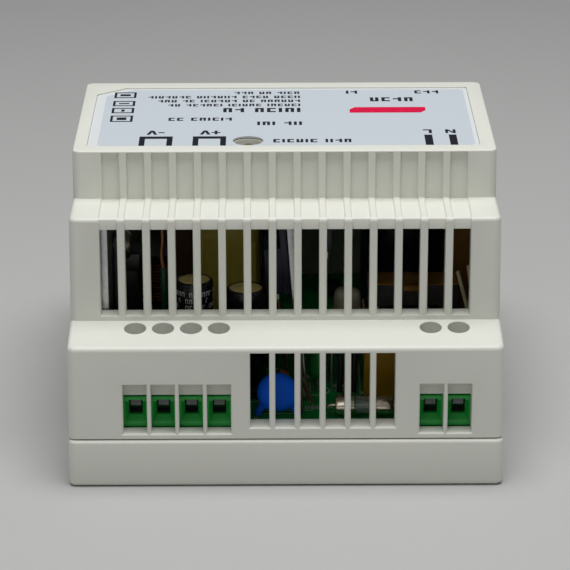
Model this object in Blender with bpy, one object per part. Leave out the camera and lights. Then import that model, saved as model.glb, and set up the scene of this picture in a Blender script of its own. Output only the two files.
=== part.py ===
"""DIN rail power supply: stepped plastic case, screw terminals, circuit board and sprung rail latch.

The supply lies on its rail side.  +Z points out of its front panel, X runs along the rail and
-Y is the side that carries the screw terminals.  The latch comes out of the +Y side.
Sizes below are in millimetres; MM turns them into Blender's metres.
"""

import math

import bmesh
import bpy
from mathutils import Vector

MM = 0.001
GAP = 0.3

# Case: half sizes about the middle of the body, heights above the rail side.
BODY_Y = -1.5
SIDE_AT_BASE = 39.0
SIDE_DRAFT = 0.0098
COVER_HALF = 45.0
COVER_TOP = 8.7
SHELL_BOTTOM = 9.0
LOWER_FOOT = 44.32
LOWER_EDGE = (44.08, 26.21)
SHOULDER_TOP = (34.39, 27.82)
MID_EDGE = (34.13, 47.06)
NOSE_FOOT = 22.58
NOSE_EDGE = (22.45, 56.0)
TIER_INSET = 0.04
CORNER_RADIUS = 1.4
EDGE_RADIUS = 0.7
NOSE_EDGE_RADIUS = 0.3

# Inside of the case.
CAVITY_SIDE = 36.4
CAVITY_LOWER = (40.4, 24.2)
CAVITY_MID = (31.0, 44.8)
CAVITY_NOSE = (20.0, 53.4)

# Cooling slots and the grooves above them.
VENT_COUNT = 15
VENT_PITCH = 4.507
VENT_WIDTH = 3.17
VENT_SILL = 28.65
VENT_HEAD = 44.75
GROOVE_DEPTH = 0.8
STEP_GROOVE_DEPTH = 0.35
GROOVE_TOP = 55.7
LOWER_VENT_COUNT = 6
LOWER_VENT_FIRST = -4.635
LOWER_VENT_PITCH = 4.481
LOWER_VENT_WIDTH = 3.42
LOWER_VENT_SILL = 11.1
LOWER_VENT_HEAD = 25.2

# Front label and the hole of the status light.
LABEL_RECESS = ((-35.95, -19.25), (35.55, 18.75))
LABEL_CORNER = (5.4, 4.4)
LABEL_RECESS_FLOOR = 55.3
LABEL_BOTTOM = 55.5
LABEL_TOP = 55.8
LIGHT_AT = (-6.65, -15.6)
LIGHT_HOLE_RADIUS = 2.6
LIGHT_TUBE_RADIUS = 3.9
LIGHT_TUBE_BOTTOM = 48.0
LIGHT_BASE = 50.2
LIGHT_LEAD_RUN = (46.0, 14.0)

# Screw terminals.
TERMINAL_PITCH = 5.0
OUTPUT_TERMINALS = (-26.9, -21.9, -16.9, -11.9)
INPUT_TERMINALS = (26.0, 31.0)
TERMINAL_Y = -37.1
WINDOW_WIDTH = 4.3
WINDOW_Z = (9.95, 19.3)
WINDOW_DEPTH_Y = -40.9
BLOCK_FRONT = -41.0
BLOCK_STEP = -39.9
BLOCK_BACK = -32.8
BLOCK_BOTTOM = 10.1
BLOCK_LIP = 15.8
BLOCK_TOP = 22.4
SCREW_HOLE_RADIUS = 2.0
MOUTH_HALF = 1.23
MOUTH_Z = (11.95, 15.2)
CAGE_HALF = (1.75, 1.6)
CAGE_Z = (10.9, 17.4)
CAGE_WALL = 0.45
CAGE_TRAVEL = 1.7
BAR_Z = (13.6, 14.9)
BAR_HALF = 0.93
PIN_Y = (-34.4, -33.6)
PIN_BOTTOM = 7.0
SCREW_TIP = 15.2
SCREW_HEAD_Z = (20.5, 22.1)
SCREW_HEAD_RADIUS = 1.7
SCREW_SHANK_RADIUS = 1.0

# Seat of the 35 mm rail, its fixed hook and its latch.
RAIL_SEAT_Z = 5.0
RAIL_HALF = 17.5
SEAT_PAD_HALF = 15.0
SEAT_PAD_HEIGHT = 0.3
HOOK_TIP_Y = -15.8
HOOK_TOP = 3.6
LATCH_HALF = 5.6
LATCH_FLANGE_HALF = 7.4
LATCH_Z = (0.5, 3.6)
LATCH_FLANGE_Z = 2.2
LATCH_NOSE_Y = 15.9
LATCH_END_Y = 48.0
LATCH_WINDOW_Y = (24.0, 38.6)
POST_Y = (36.6, 38.3)
SPRING_RADIUS = 1.2
SPRING_WIRE = 0.22
SPRING_TURNS = 8

# Snap tongues that hold the cover in the shell.
SNAP_PLACES = (-24.0, 24.0)
SNAP_HALF = 3.0
SNAP_Z = (12.0, 13.2)

# Circuit board.
BOARD_HALF = (34.8, 39.9)
BOARD_Z = (8.2, 9.8)
ON_BOARD = 10.1

WHITE_PLASTIC = ("housing_plastic", (0.72, 0.73, 0.69), 0.45, 0.0)
LABEL_FILM = ("label_film", (0.52, 0.60, 0.68), 0.5, 0.0)
GREEN_PLASTIC = ("terminal_plastic", (0.02, 0.30, 0.08), 0.4, 0.0)
BLACK_PLASTIC = ("black_plastic", (0.02, 0.02, 0.022), 0.4, 0.0)
BOARD_GREEN = ("board_laminate", (0.02, 0.14, 0.05), 0.45, 0.0)
NICKEL = ("nickel_plate", (0.62, 0.61, 0.58), 0.3, 1.0)
TIN = ("tinned_copper", (0.66, 0.66, 0.64), 0.35, 1.0)
ALUMINIUM = ("aluminium_sheet", (0.70, 0.71, 0.72), 0.4, 1.0)
SPRING_STEEL = ("spring_steel", (0.45, 0.45, 0.45), 0.3, 1.0)
FERRITE = ("ferrite", (0.04, 0.04, 0.042), 0.6, 0.0)
YELLOW_TAPE = ("winding_tape", (0.62, 0.50, 0.08), 0.45, 0.0)
COPPER = ("enamelled_wire", (0.55, 0.22, 0.05), 0.3, 0.6)
AMBER_RESIN = ("amber_case", (0.45, 0.22, 0.04), 0.35, 0.0)
BLUE_RESIN = ("blue_coating", (0.02, 0.12, 0.38), 0.35, 0.0)
GREEN_RESIN = ("green_coating", (0.03, 0.22, 0.06), 0.3, 0.0)
GREY_RESIN = ("grey_coating", (0.30, 0.29, 0.25), 0.5, 0.0)
GLASS = ("fuse_glass", (0.85, 0.90, 0.90), 0.05, 0.0)
GREEN_LENS = ("green_lens", (0.10, 0.45, 0.12), 0.15, 0.0)
SLEEVE = ("capacitor_sleeve", (0.03, 0.03, 0.05), 0.35, 0.0)


def clear_scene():
    for item in list(bpy.data.objects):
        bpy.data.objects.remove(item, do_unlink=True)


def material(recipe):
    """One Principled BSDF for each recipe of name, colour, roughness and metallic."""
    name, colour, roughness, metallic = recipe
    found = bpy.data.materials.get(name)
    if found:
        return found
    made = bpy.data.materials.new(name)
    made.use_nodes = True
    made.diffuse_color = (*colour, 1.0)
    shader = made.node_tree.nodes["Principled BSDF"]
    shader.inputs["Base Color"].default_value = (*colour, 1.0)
    shader.inputs["Roughness"].default_value = roughness
    shader.inputs["Metallic"].default_value = metallic
    return made


# ---------------------------------------------------------------- mesh pieces


def add_prism(bm, outline, axis, start, end):
    """Extrude a closed outline along an axis.  Its points are the two other coordinates in order."""
    rows = []
    for level in (start, end):
        row = []
        for a, b in outline:
            spot = {"X": (level, a, b), "Y": (a, level, b), "Z": (a, b, level)}[axis]
            row.append(bm.verts.new(spot))
        rows.append(row)
    count = len(outline)
    faces = [bm.faces.new(rows[0]), bm.faces.new(list(reversed(rows[1])))]
    for i in range(count):
        j = (i + 1) % count
        faces.append(bm.faces.new((rows[0][i], rows[1][i], rows[1][j], rows[0][j])))
    bmesh.ops.recalc_face_normals(bm, faces=faces)
    return faces


def add_box(bm, low, high):
    outline = [(low[0], low[1]), (high[0], low[1]), (high[0], high[1]), (low[0], high[1])]
    return add_prism(bm, outline, "Z", low[2], high[2])


def add_lathe(bm, profile, axis_at, sides, axis="Z"):
    """Turn a profile of (radius, height) points round an axis through axis_at."""
    rings = []
    for radius, height in profile:
        ring = []
        for k in range(sides):
            angle = 2 * math.pi * (k + 0.5) / sides
            a = axis_at[0] + radius * math.cos(angle)
            b = axis_at[1] + radius * math.sin(angle)
            spot = {"X": (height, a, b), "Y": (a, height, b), "Z": (a, b, height)}[axis]
            ring.append(bm.verts.new(spot))
        rings.append(ring)
    faces = [bm.faces.new(rings[0]), bm.faces.new(list(reversed(rings[-1])))]
    for low, high in zip(rings, rings[1:]):
        for k in range(sides):
            n = (k + 1) % sides
            faces.append(bm.faces.new((low[k], high[k], high[n], low[n])))
    bmesh.ops.recalc_face_normals(bm, faces=faces)
    return faces


def add_cylinder(bm, axis_at, radius, start, end, sides=24, axis="Z"):
    return add_lathe(bm, [(radius, start), (radius, end)], axis_at, sides, axis)


def bevel(bm, edges, width, steps):
    bmesh.ops.bevel(
        bm, geom=edges, offset=width, offset_type="OFFSET", segments=steps, profile=0.5, affect="EDGES"
    )


def build(name, bm, recipe, at=(0.0, 0.0, 0.0)):
    """Turn a bmesh in millimetres, drawn about the middle of the body, into an object with its origin at at."""
    spot = Vector(at)
    for vertex in bm.verts:
        vertex.co = (vertex.co - spot) * MM
    mesh = bpy.data.meshes.new(name)
    bm.to_mesh(mesh)
    bm.free()
    item = bpy.data.objects.new(name, mesh)
    bpy.context.scene.collection.objects.link(item)
    item.location = (spot + Vector((0.0, BODY_Y, 0.0))) * MM
    mesh.materials.append(material(recipe))
    smooth(mesh)
    return item


def smooth(mesh):
    mesh.shade_smooth()
    mesh.set_sharp_from_angle(angle=math.radians(35))


def combine(item, bm, operation):
    """Cut a bmesh out of an object or join it to the object, and keep the result as its mesh."""
    tool = build(item.name + "_tool", bm, WHITE_PLASTIC, at=item.location / MM - Vector((0, BODY_Y, 0)))
    tool.data.materials.clear()
    step = item.modifiers.new(operation.lower(), "BOOLEAN")
    step.operation = operation
    step.solver = "EXACT"
    step.object = tool
    graph = bpy.context.evaluated_depsgraph_get()
    graph.update()
    result = bpy.data.meshes.new_from_object(item.evaluated_get(graph))
    item.modifiers.clear()
    old = item.data
    item.data = result
    bpy.data.meshes.remove(old)
    tool_mesh = tool.data
    bpy.data.objects.remove(tool, do_unlink=True)
    bpy.data.meshes.remove(tool_mesh)
    result.name = item.name
    smooth(result)


def cut(item, draw):
    """draw(bm) adds the solids to take away."""
    bm = bmesh.new()
    draw(bm)
    combine(item, bm, "DIFFERENCE")


def join(item, draw):
    bm = bmesh.new()
    draw(bm)
    combine(item, bm, "UNION")


def rounded_box(name, low, high, radius, recipe, steps=2):
    """A box with every edge rounded."""
    bm = bmesh.new()
    add_box(bm, low, high)
    bevel(bm, list(bm.edges), radius, steps)
    return build(name, bm, recipe)


# ---------------------------------------------------------------- case


def side_at(height):
    """Half width of the case, which narrows towards the front panel."""
    return SIDE_AT_BASE - SIDE_DRAFT * height


def both_sides(half_outline):
    """A closed outline, symmetric about y = 0, from (y, z) points going up the +Y side."""
    return list(half_outline) + [(-y, z) for y, z in reversed(half_outline)]


def add_tier(bm, outline, inset, corner_radius, edge_radius, foot_radius=0.0):
    """A drafted block of the case with rounded corners and a rounded upper rim."""
    rows = []
    for side in (-1, 1):
        rows.append([bm.verts.new((side * (side_at(z) - inset), y, z)) for y, z in outline])
    count = len(outline)
    bm.faces.new(rows[0])
    bm.faces.new(list(reversed(rows[1])))
    for i in range(count):
        j = (i + 1) % count
        bm.faces.new((rows[0][i], rows[1][i], rows[1][j], rows[0][j]))
    bmesh.ops.recalc_face_normals(bm, faces=list(bm.faces))
    foot = min(z for _, z in outline)
    upright = []
    for edge in bm.edges:
        run = edge.verts[1].co - edge.verts[0].co
        if abs(run.z) > 0.9 * run.length:
            upright.append(edge)
    bevel(bm, upright, corner_radius, 3)
    bm.normal_update()
    rim = []
    feet = []
    for edge in bm.edges:
        ups = [face.normal.z for face in edge.link_faces]
        if max(ups) > 0.9 and min(ups) < 0.5:
            rim.append(edge)
        if min(ups) < -0.9 and max(v.co.z for v in edge.verts) < foot + 0.01:
            feet.append(edge)
    bevel(bm, rim, edge_radius, 2)
    if foot_radius:
        feet = [edge for edge in feet if edge.is_valid]
        bevel(bm, feet, foot_radius, 2)


def vent_columns():
    first = -VENT_PITCH * (VENT_COUNT - 1) / 2
    return [first + VENT_PITCH * i for i in range(VENT_COUNT)]


def lower_vent_columns():
    return [LOWER_VENT_FIRST + LOWER_VENT_PITCH * i for i in range(LOWER_VENT_COUNT)]


def groove_outline(side):
    """One groove and the slot below it, as a (y, z) outline on the chosen side of the case."""
    nose = NOSE_FOOT - GROOVE_DEPTH
    step = MID_EDGE[1] - STEP_GROOVE_DEPTH
    front = MID_EDGE[0] - GROOVE_DEPTH
    points = [
        (NOSE_FOOT + 3.0, GROOVE_TOP),
        (nose - 0.1, GROOVE_TOP),
        (nose, step),
        (front, step),
        (front, VENT_HEAD),
        (CAVITY_MID[0] - 1.0, VENT_HEAD),
        (CAVITY_MID[0] - 1.0, VENT_SILL),
        (SHOULDER_TOP[0] + 3.0, VENT_SILL),
        (SHOULDER_TOP[0] + 3.0, MID_EDGE[1] + 3.0),
        (NOSE_FOOT + 3.0, MID_EDGE[1] + 3.0),
    ]
    return [(side * y, z) for y, z in points]


def label_outline(grow):
    """Front label recess seen from above, with the corner at low x and high y cut off."""
    (x0, y0), (x1, y1) = LABEL_RECESS
    x0, y0, x1, y1 = x0 - grow, y0 - grow, x1 + grow, y1 + grow
    return [(x0, y0), (x1, y0), (x1, y1), (x0 + LABEL_CORNER[0], y1), (x0, y1 - LABEL_CORNER[1])]


def block_ends(terminals):
    return terminals[0] - TERMINAL_PITCH / 2, terminals[-1] + TERMINAL_PITCH / 2


def top_housing():
    """Stepped shell with its cooling slots, terminal windows, screw holes and label recess."""
    bm = bmesh.new()
    lower = [(LOWER_FOOT, SHELL_BOTTOM), LOWER_EDGE, SHOULDER_TOP]
    add_tier(bm, both_sides(lower), 0.0, CORNER_RADIUS, EDGE_RADIUS)
    item = build("top_housing", bm, WHITE_PLASTIC)
    mid_foot = SHOULDER_TOP[0] + 0.05
    mid = [(mid_foot, SHOULDER_TOP[1] - 4.0), MID_EDGE]
    nose = [(NOSE_FOOT + 0.05, MID_EDGE[1] - 4.0), NOSE_EDGE]
    join(item, lambda bm: add_tier(bm, both_sides(mid), TIER_INSET, CORNER_RADIUS, EDGE_RADIUS))
    join(item, lambda bm: add_tier(bm, both_sides(nose), 2 * TIER_INSET, CORNER_RADIUS, NOSE_EDGE_RADIUS))

    def cavity(bm):
        half = [
            (CAVITY_LOWER[0], SHELL_BOTTOM - 1.0),
            CAVITY_LOWER,
            (CAVITY_MID[0], CAVITY_LOWER[1]),
            CAVITY_MID,
            (CAVITY_NOSE[0], CAVITY_MID[1]),
            CAVITY_NOSE,
        ]
        add_prism(bm, both_sides(half), "X", -CAVITY_SIDE, CAVITY_SIDE)

    def chimneys(bm):
        for terminals in (OUTPUT_TERMINALS, INPUT_TERMINALS):
            left, right = block_ends(terminals)
            low = (left - 0.5, -CAVITY_LOWER[0] - 0.5, BLOCK_TOP + GAP)
            add_box(bm, low, (right + 0.5, BLOCK_BACK + 0.2, CAVITY_LOWER[1] + 0.8))

    def light_tube(bm):
        add_cylinder(bm, LIGHT_AT, LIGHT_TUBE_RADIUS, LIGHT_TUBE_BOTTOM, CAVITY_NOSE[1] + 0.8, 32)

    def grooves(bm):
        for side in (-1, 1):
            for x in vent_columns():
                add_prism(bm, groove_outline(side), "X", x - VENT_WIDTH / 2, x + VENT_WIDTH / 2)

    def openings(bm):
        for x in lower_vent_columns():
            low = (x - LOWER_VENT_WIDTH / 2, -LOWER_FOOT - 2.0, LOWER_VENT_SILL)
            add_box(bm, low, (x + LOWER_VENT_WIDTH / 2, 1.0 - CAVITY_LOWER[0], LOWER_VENT_HEAD))
        for x in OUTPUT_TERMINALS + INPUT_TERMINALS:
            low = (x - WINDOW_WIDTH / 2, -LOWER_FOOT - 2.0, WINDOW_Z[0])
            add_box(bm, low, (x + WINDOW_WIDTH / 2, WINDOW_DEPTH_Y, WINDOW_Z[1]))

    def block_pockets(bm):
        for terminals in (OUTPUT_TERMINALS, INPUT_TERMINALS):
            left, right = block_ends(terminals)
            low = (left - GAP, BLOCK_FRONT - GAP, SHELL_BOTTOM - 1.0)
            add_box(bm, low, (right + GAP, -CAVITY_LOWER[0] + 0.5, BLOCK_LIP + GAP))

    def bores(bm):
        for x in OUTPUT_TERMINALS + INPUT_TERMINALS:
            add_cylinder(bm, (x, TERMINAL_Y), SCREW_HOLE_RADIUS, BLOCK_TOP - 1.0, SHOULDER_TOP[1] + 3.0, 24)
        top = NOSE_EDGE[1] + 2.0
        add_cylinder(bm, LIGHT_AT, LIGHT_HOLE_RADIUS, LIGHT_TUBE_BOTTOM - 1.0, top, 32)

    def label_seat(bm):
        add_prism(bm, label_outline(0.0), "Z", LABEL_RECESS_FLOOR, NOSE_EDGE[1] + 1.0)

    def snap_seats(bm):
        for side in (-1, 1):
            for y in SNAP_PLACES:
                x0, x1 = sorted((side * (CAVITY_SIDE - 0.5), side * (CAVITY_SIDE + 0.8)))
                low = (x0, y - SNAP_HALF - GAP, SNAP_Z[0] - GAP)
                add_box(bm, low, (x1, y + SNAP_HALF + GAP, SNAP_Z[1] + GAP))

    cut(item, cavity)
    join(item, chimneys)
    join(item, light_tube)
    cut(item, grooves)
    cut(item, openings)
    cut(item, block_pockets)
    cut(item, bores)
    cut(item, label_seat)
    cut(item, snap_seats)
    return item


def bottom_cover():
    """Rail-side cover: tray, rail seat with its fixed hook, latch guide, posts and snap tongues."""
    bm = bmesh.new()
    outline = both_sides([(COVER_HALF, 0.0), (COVER_HALF, COVER_TOP)])
    add_tier(bm, outline, 0.0, CORNER_RADIUS, 0.45, 0.9)
    item = build("bottom_cover", bm, WHITE_PLASTIC)
    wall = 2.2
    floor = RAIL_SEAT_Z + 1.6
    side = SIDE_AT_BASE - wall
    end = COVER_HALF - wall
    foot = 24.5

    def tray(bm):
        add_box(bm, (-side, -end, floor), (side, end, COVER_TOP + 1.0))

    def foot_pockets(bm):
        add_box(bm, (-side, -end, 1.8), (side, -foot, floor + 0.5))
        add_box(bm, (-side, foot, 1.8), (-LATCH_FLANGE_HALF - 2.0, end, floor + 0.5))
        add_box(bm, (LATCH_FLANGE_HALF + 2.0, foot, 1.8), (side, end, floor + 0.5))

    def rail_seat(bm):
        catch = RAIL_HALF + 0.5
        roof = RAIL_SEAT_Z + SEAT_PAD_HEIGHT
        outline = [
            (HOOK_TIP_Y, -1.0),
            (HOOK_TIP_Y, HOOK_TOP),
            (-catch, HOOK_TOP),
            (-catch, roof),
            (-SEAT_PAD_HALF, roof),
            (-SEAT_PAD_HALF, RAIL_SEAT_Z),
            (SEAT_PAD_HALF, RAIL_SEAT_Z),
            (SEAT_PAD_HALF, roof),
            (catch, roof),
            (catch, -1.0),
        ]
        add_prism(bm, outline, "X", -SIDE_AT_BASE - 2.0, SIDE_AT_BASE + 2.0)

    def latch_guide(bm):
        narrow = LATCH_HALF + GAP
        wide = LATCH_FLANGE_HALF + GAP
        split = LATCH_FLANGE_Z - GAP
        top = LATCH_Z[1] + GAP
        outline = [
            (-narrow, -1.0),
            (narrow, -1.0),
            (narrow, split),
            (wide, split),
            (wide, top),
            (-wide, top),
            (-wide, split),
            (-narrow, split),
        ]
        add_prism(bm, outline, "Y", RAIL_HALF, COVER_HALF + 2.0)

    def spring_post(bm):
        add_box(bm, (-1.5, POST_Y[0], 0.9), (1.5, POST_Y[1], LATCH_Z[1] + GAP + 0.6))

    def board_posts(bm):
        for x in (-28.0, 28.0):
            for y in (-20.0, 0.0, 20.0):
                add_cylinder(bm, (x, y), 2.5, floor - 0.5, BOARD_Z[0] - GAP, 16)

    def snap_tongues(bm):
        for sign in (-1, 1):
            outer = CAVITY_SIDE - GAP
            outline = [
                (outer - 1.0, floor - 0.5),
                (outer, floor - 0.5),
                (outer, SNAP_Z[0]),
                (outer + 0.6, SNAP_Z[0]),
                (outer + 0.6, SNAP_Z[0] + 0.4),
                (outer - 0.2, SNAP_Z[1] + 0.8),
                (outer - 1.0, SNAP_Z[1] + 0.8),
            ]
            points = [(sign * x, z) for x, z in outline]
            for y in SNAP_PLACES:
                add_prism(bm, points, "Y", y - SNAP_HALF, y + SNAP_HALF)

    cut(item, tray)
    cut(item, foot_pockets)
    cut(item, rail_seat)
    cut(item, latch_guide)
    join(item, spring_post)
    join(item, board_posts)
    join(item, snap_tongues)
    return item


def front_label():
    """Printed film in the recess of the front panel, with a hole for the status light."""
    bm = bmesh.new()
    add_prism(bm, label_outline(-GAP), "Z", LABEL_BOTTOM, LABEL_TOP)
    item = build("front_label", bm, LABEL_FILM)
    hole = LIGHT_HOLE_RADIUS + 0.2
    cut(item, lambda bm: add_cylinder(bm, LIGHT_AT, hole, LABEL_BOTTOM - 1.0, LABEL_TOP + 1.0, 32))
    return item


# ---------------------------------------------------------------- rail latch


def rail_latch():
    """Sliding latch: sloped nose, guide flanges, window for the spring and a slotted pull tab."""
    bm = bmesh.new()
    bottom, top = LATCH_Z
    outline = [
        (LATCH_NOSE_Y, top),
        (LATCH_NOSE_Y, top - 0.8),
        (LATCH_NOSE_Y + 2.2, bottom),
        (LATCH_END_Y, bottom),
        (LATCH_END_Y, top),
    ]
    add_prism(bm, outline, "X", -LATCH_HALF, LATCH_HALF)
    item = build("rail_latch", bm, BLACK_PLASTIC, at=(0.0, LATCH_NOSE_Y, top))

    def flanges(bm):
        for side in (-1, 1):
            x0, x1 = sorted((side * (LATCH_HALF - 1.0), side * LATCH_FLANGE_HALF))
            add_box(bm, (x0, RAIL_HALF + 2.0, LATCH_FLANGE_Z), (x1, COVER_HALF - 4.5, top - 0.02))

    def holes(bm):
        low, high = LATCH_WINDOW_Y
        add_box(bm, (-1.9, low, bottom - 1.0), (1.9, high, top + 1.0))
        add_box(bm, (-2.6, LATCH_END_Y - 2.3, bottom - 1.0), (2.6, LATCH_END_Y - 1.1, top + 1.0))

    join(item, flanges)
    cut(item, holes)
    return item


def latch_spring():
    """Compression spring between the fixed post and the latch's window."""
    start = LATCH_WINDOW_Y[0] + GAP
    end = POST_Y[0] - GAP
    centre = (LATCH_Z[0] + LATCH_Z[1]) / 2
    per_turn = 12
    sides = 6
    steps = SPRING_TURNS * per_turn
    run = end - start - 2 * SPRING_WIRE
    bm = bmesh.new()
    rings = []
    for i in range(steps + 1):
        turn = 2 * math.pi * i / per_turn
        radial = Vector((math.cos(turn), 0.0, math.sin(turn)))
        along = Vector((0.0, 1.0, 0.0))
        middle = radial * SPRING_RADIUS + along * (start + SPRING_WIRE + run * i / steps)
        middle.z += centre
        ring = []
        for k in range(sides):
            angle = 2 * math.pi * k / sides
            offset = radial * math.cos(angle) + along * math.sin(angle)
            ring.append(bm.verts.new(middle + offset * SPRING_WIRE))
        rings.append(ring)
    for low, high in zip(rings, rings[1:]):
        for k in range(sides):
            n = (k + 1) % sides
            bm.faces.new((low[k], low[n], high[n], high[k]))
    bm.faces.new(list(reversed(rings[0])))
    bm.faces.new(rings[-1])
    bmesh.ops.recalc_face_normals(bm, faces=list(bm.faces))
    return build("latch_spring", bm, SPRING_STEEL, at=(0.0, end, centre))


# ---------------------------------------------------------------- screw terminals


def terminal_block(name, terminals):
    """Moulded block: one cell for each terminal, with a wire mouth, a cage well and a screw well."""
    left, right = block_ends(terminals)
    outline = [
        (BLOCK_FRONT, BLOCK_BOTTOM),
        (BLOCK_FRONT, BLOCK_LIP),
        (BLOCK_STEP, BLOCK_LIP),
        (BLOCK_STEP, BLOCK_TOP),
        (BLOCK_BACK, BLOCK_TOP),
        (BLOCK_BACK, BLOCK_BOTTOM),
    ]
    bm = bmesh.new()
    add_prism(bm, outline, "X", left, right)
    item = build(name, bm, GREEN_PLASTIC)
    well_top = CAGE_Z[1] + CAGE_TRAVEL + GAP
    ledge_top = SCREW_HEAD_Z[0] - GAP

    def cage_wells(bm):
        for x in terminals:
            low = (x - CAGE_HALF[0] - GAP, TERMINAL_Y - CAGE_HALF[1] - GAP, CAGE_Z[0] - GAP)
            add_box(bm, low, (x + CAGE_HALF[0] + GAP, TERMINAL_Y + CAGE_HALF[1] + GAP, well_top))

    def mouths(bm):
        for x in terminals:
            low = (x - MOUTH_HALF, BLOCK_FRONT - 0.5, MOUTH_Z[0])
            add_box(bm, low, (x + MOUTH_HALF, TERMINAL_Y - CAGE_HALF[1], MOUTH_Z[1]))

    def funnels(bm):
        reach = 1.2
        for x in terminals:
            faces = add_box(
                bm, (x - MOUTH_HALF - 0.02, BLOCK_FRONT - 0.3, MOUTH_Z[0] - 0.02),
                (x + MOUTH_HALF + 0.02, BLOCK_FRONT + reach, MOUTH_Z[1] - 0.3),
            )
            outer = {v for face in faces for v in face.verts if v.co.y < BLOCK_FRONT}
            for vertex in outer:
                vertex.co.x += math.copysign(0.8, vertex.co.x - x)
                if vertex.co.z < MOUTH_Z[0]:
                    vertex.co.z -= 1.5

    def bar_slots(bm):
        for x in terminals:
            low = (x - BAR_HALF - GAP, TERMINAL_Y + CAGE_HALF[1], BAR_Z[0] - GAP)
            add_box(bm, low, (x + BAR_HALF + GAP, PIN_Y[1] + GAP, BAR_Z[1] + GAP))

    def pin_slots(bm):
        for x in terminals:
            low = (x - BAR_HALF - GAP, PIN_Y[0] - GAP, BLOCK_BOTTOM - 1.0)
            add_box(bm, low, (x + BAR_HALF + GAP, PIN_Y[1] + GAP, BAR_Z[0]))

    def shank_holes(bm):
        for x in terminals:
            add_cylinder(bm, (x, TERMINAL_Y), SCREW_SHANK_RADIUS + GAP, well_top - 0.5, BLOCK_TOP + 1.0, 16)

    def head_holes(bm):
        for x in terminals:
            add_cylinder(bm, (x, TERMINAL_Y), SCREW_HEAD_RADIUS + GAP, ledge_top, BLOCK_TOP + 1.0, 20)

    for step in (cage_wells, mouths, funnels, bar_slots, pin_slots, shank_holes, head_holes):
        cut(item, step)
    return item


def terminal_screw(name, x):
    """Clamp screw with a slotted head; it turns about its own axis and stays at its height."""
    bm = bmesh.new()
    profile = [
        (SCREW_SHANK_RADIUS - 0.3, SCREW_TIP),
        (SCREW_SHANK_RADIUS, SCREW_TIP + 0.3),
        (SCREW_SHANK_RADIUS, SCREW_HEAD_Z[0]),
        (SCREW_HEAD_RADIUS, SCREW_HEAD_Z[0]),
        (SCREW_HEAD_RADIUS, SCREW_HEAD_Z[1] - 0.25),
        (SCREW_HEAD_RADIUS - 0.25, SCREW_HEAD_Z[1]),
    ]
    add_lathe(bm, profile, (x, TERMINAL_Y), 20)
    item = build(name, bm, NICKEL, at=(x, TERMINAL_Y, SCREW_HEAD_Z[0]))

    def slot(bm):
        low = (x - 2.5, TERMINAL_Y - 0.25, SCREW_HEAD_Z[1] - 0.8)
        add_box(bm, low, (x + 2.5, TERMINAL_Y + 0.25, SCREW_HEAD_Z[1] + 1.0))

    cut(item, slot)
    return item


def clamp_cage(name, x):
    """Rising cage: the screw lifts it and it presses the wire up against the current bar."""
    bm = bmesh.new()
    low = (x - CAGE_HALF[0], TERMINAL_Y - CAGE_HALF[1], CAGE_Z[0])
    add_box(bm, low, (x + CAGE_HALF[0], TERMINAL_Y + CAGE_HALF[1], CAGE_Z[1]))
    upright = [e for e in bm.edges if abs(e.verts[0].co.z - e.verts[1].co.z) > 1.0]
    bevel(bm, upright, 0.3, 1)
    item = build(name, bm, NICKEL, at=(x, TERMINAL_Y, CAGE_Z[0]))
    inner = CAGE_HALF[0] - CAGE_WALL

    def window(bm):
        low = (x - inner, TERMINAL_Y - 3.0, CAGE_Z[0] + 0.5)
        add_box(bm, low, (x + inner, TERMINAL_Y + 3.0, CAGE_Z[1] - 1.1))

    cut(item, window)
    cut(item, lambda bm: add_cylinder(bm, (x, TERMINAL_Y), SCREW_SHANK_RADIUS + GAP, 15.0, 19.0, 16))
    return item


def current_bar(name, x):
    """Fixed bar over the wire, bent down into the solder pin that goes through the board."""
    front = BLOCK_FRONT + 1.4
    outline = [
        (front, BAR_Z[0]),
        (front, BAR_Z[1]),
        (PIN_Y[1], BAR_Z[1]),
        (PIN_Y[1], PIN_BOTTOM),
        (PIN_Y[0], PIN_BOTTOM),
        (PIN_Y[0], BAR_Z[0]),
    ]
    bm = bmesh.new()
    add_prism(bm, outline, "X", x - BAR_HALF, x + BAR_HALF)
    return build(name, bm, TIN)


# ---------------------------------------------------------------- electronics


def main_board():
    bm = bmesh.new()
    low = (-BOARD_HALF[0], -BOARD_HALF[1], BOARD_Z[0])
    add_box(bm, low, (BOARD_HALF[0], BOARD_HALF[1], BOARD_Z[1]))
    item = build("main_board", bm, BOARD_GREEN)

    def pin_holes(bm):
        for x in OUTPUT_TERMINALS + INPUT_TERMINALS:
            low = (x - BAR_HALF - GAP, PIN_Y[0] - GAP, BOARD_Z[0] - 1.0)
            add_box(bm, low, (x + BAR_HALF + GAP, PIN_Y[1] + GAP, BOARD_Z[1] + 1.0))

    cut(item, pin_holes)
    return item


def fuse():
    """Glass fuse with two metal caps, each with its lead bent down to the board."""
    centre_y, centre_z = -36.6, 12.2
    left, right = 8.95, 19.45
    cap = 3.4
    bm = bmesh.new()
    start, end = left + cap + GAP, right - cap - GAP
    add_cylinder(bm, (centre_y, centre_z), 1.65, start, end, 20, "X")
    build("fuse_glass", bm, GLASS)
    for name, outer, sign in (("fuse_cap_left", left, 1), ("fuse_cap_right", right, -1)):
        bm = bmesh.new()
        start, end = sorted((outer, outer + sign * cap))
        add_cylinder(bm, (centre_y, centre_z), 1.85, start, end, 20, "X")
        item = build(name, bm, NICKEL)
        tip = outer - sign * 1.0
        outline = [
            (outer + sign * 0.5, centre_z - 0.3),
            (outer + sign * 0.5, centre_z + 0.3),
            (tip - sign * 0.6, centre_z + 0.3),
            (tip - sign * 0.6, ON_BOARD),
            (tip, ON_BOARD),
            (tip, centre_z - 0.3),
        ]
        join(item, lambda bm: add_prism(bm, outline, "Y", centre_y - 0.3, centre_y + 0.3))


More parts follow.
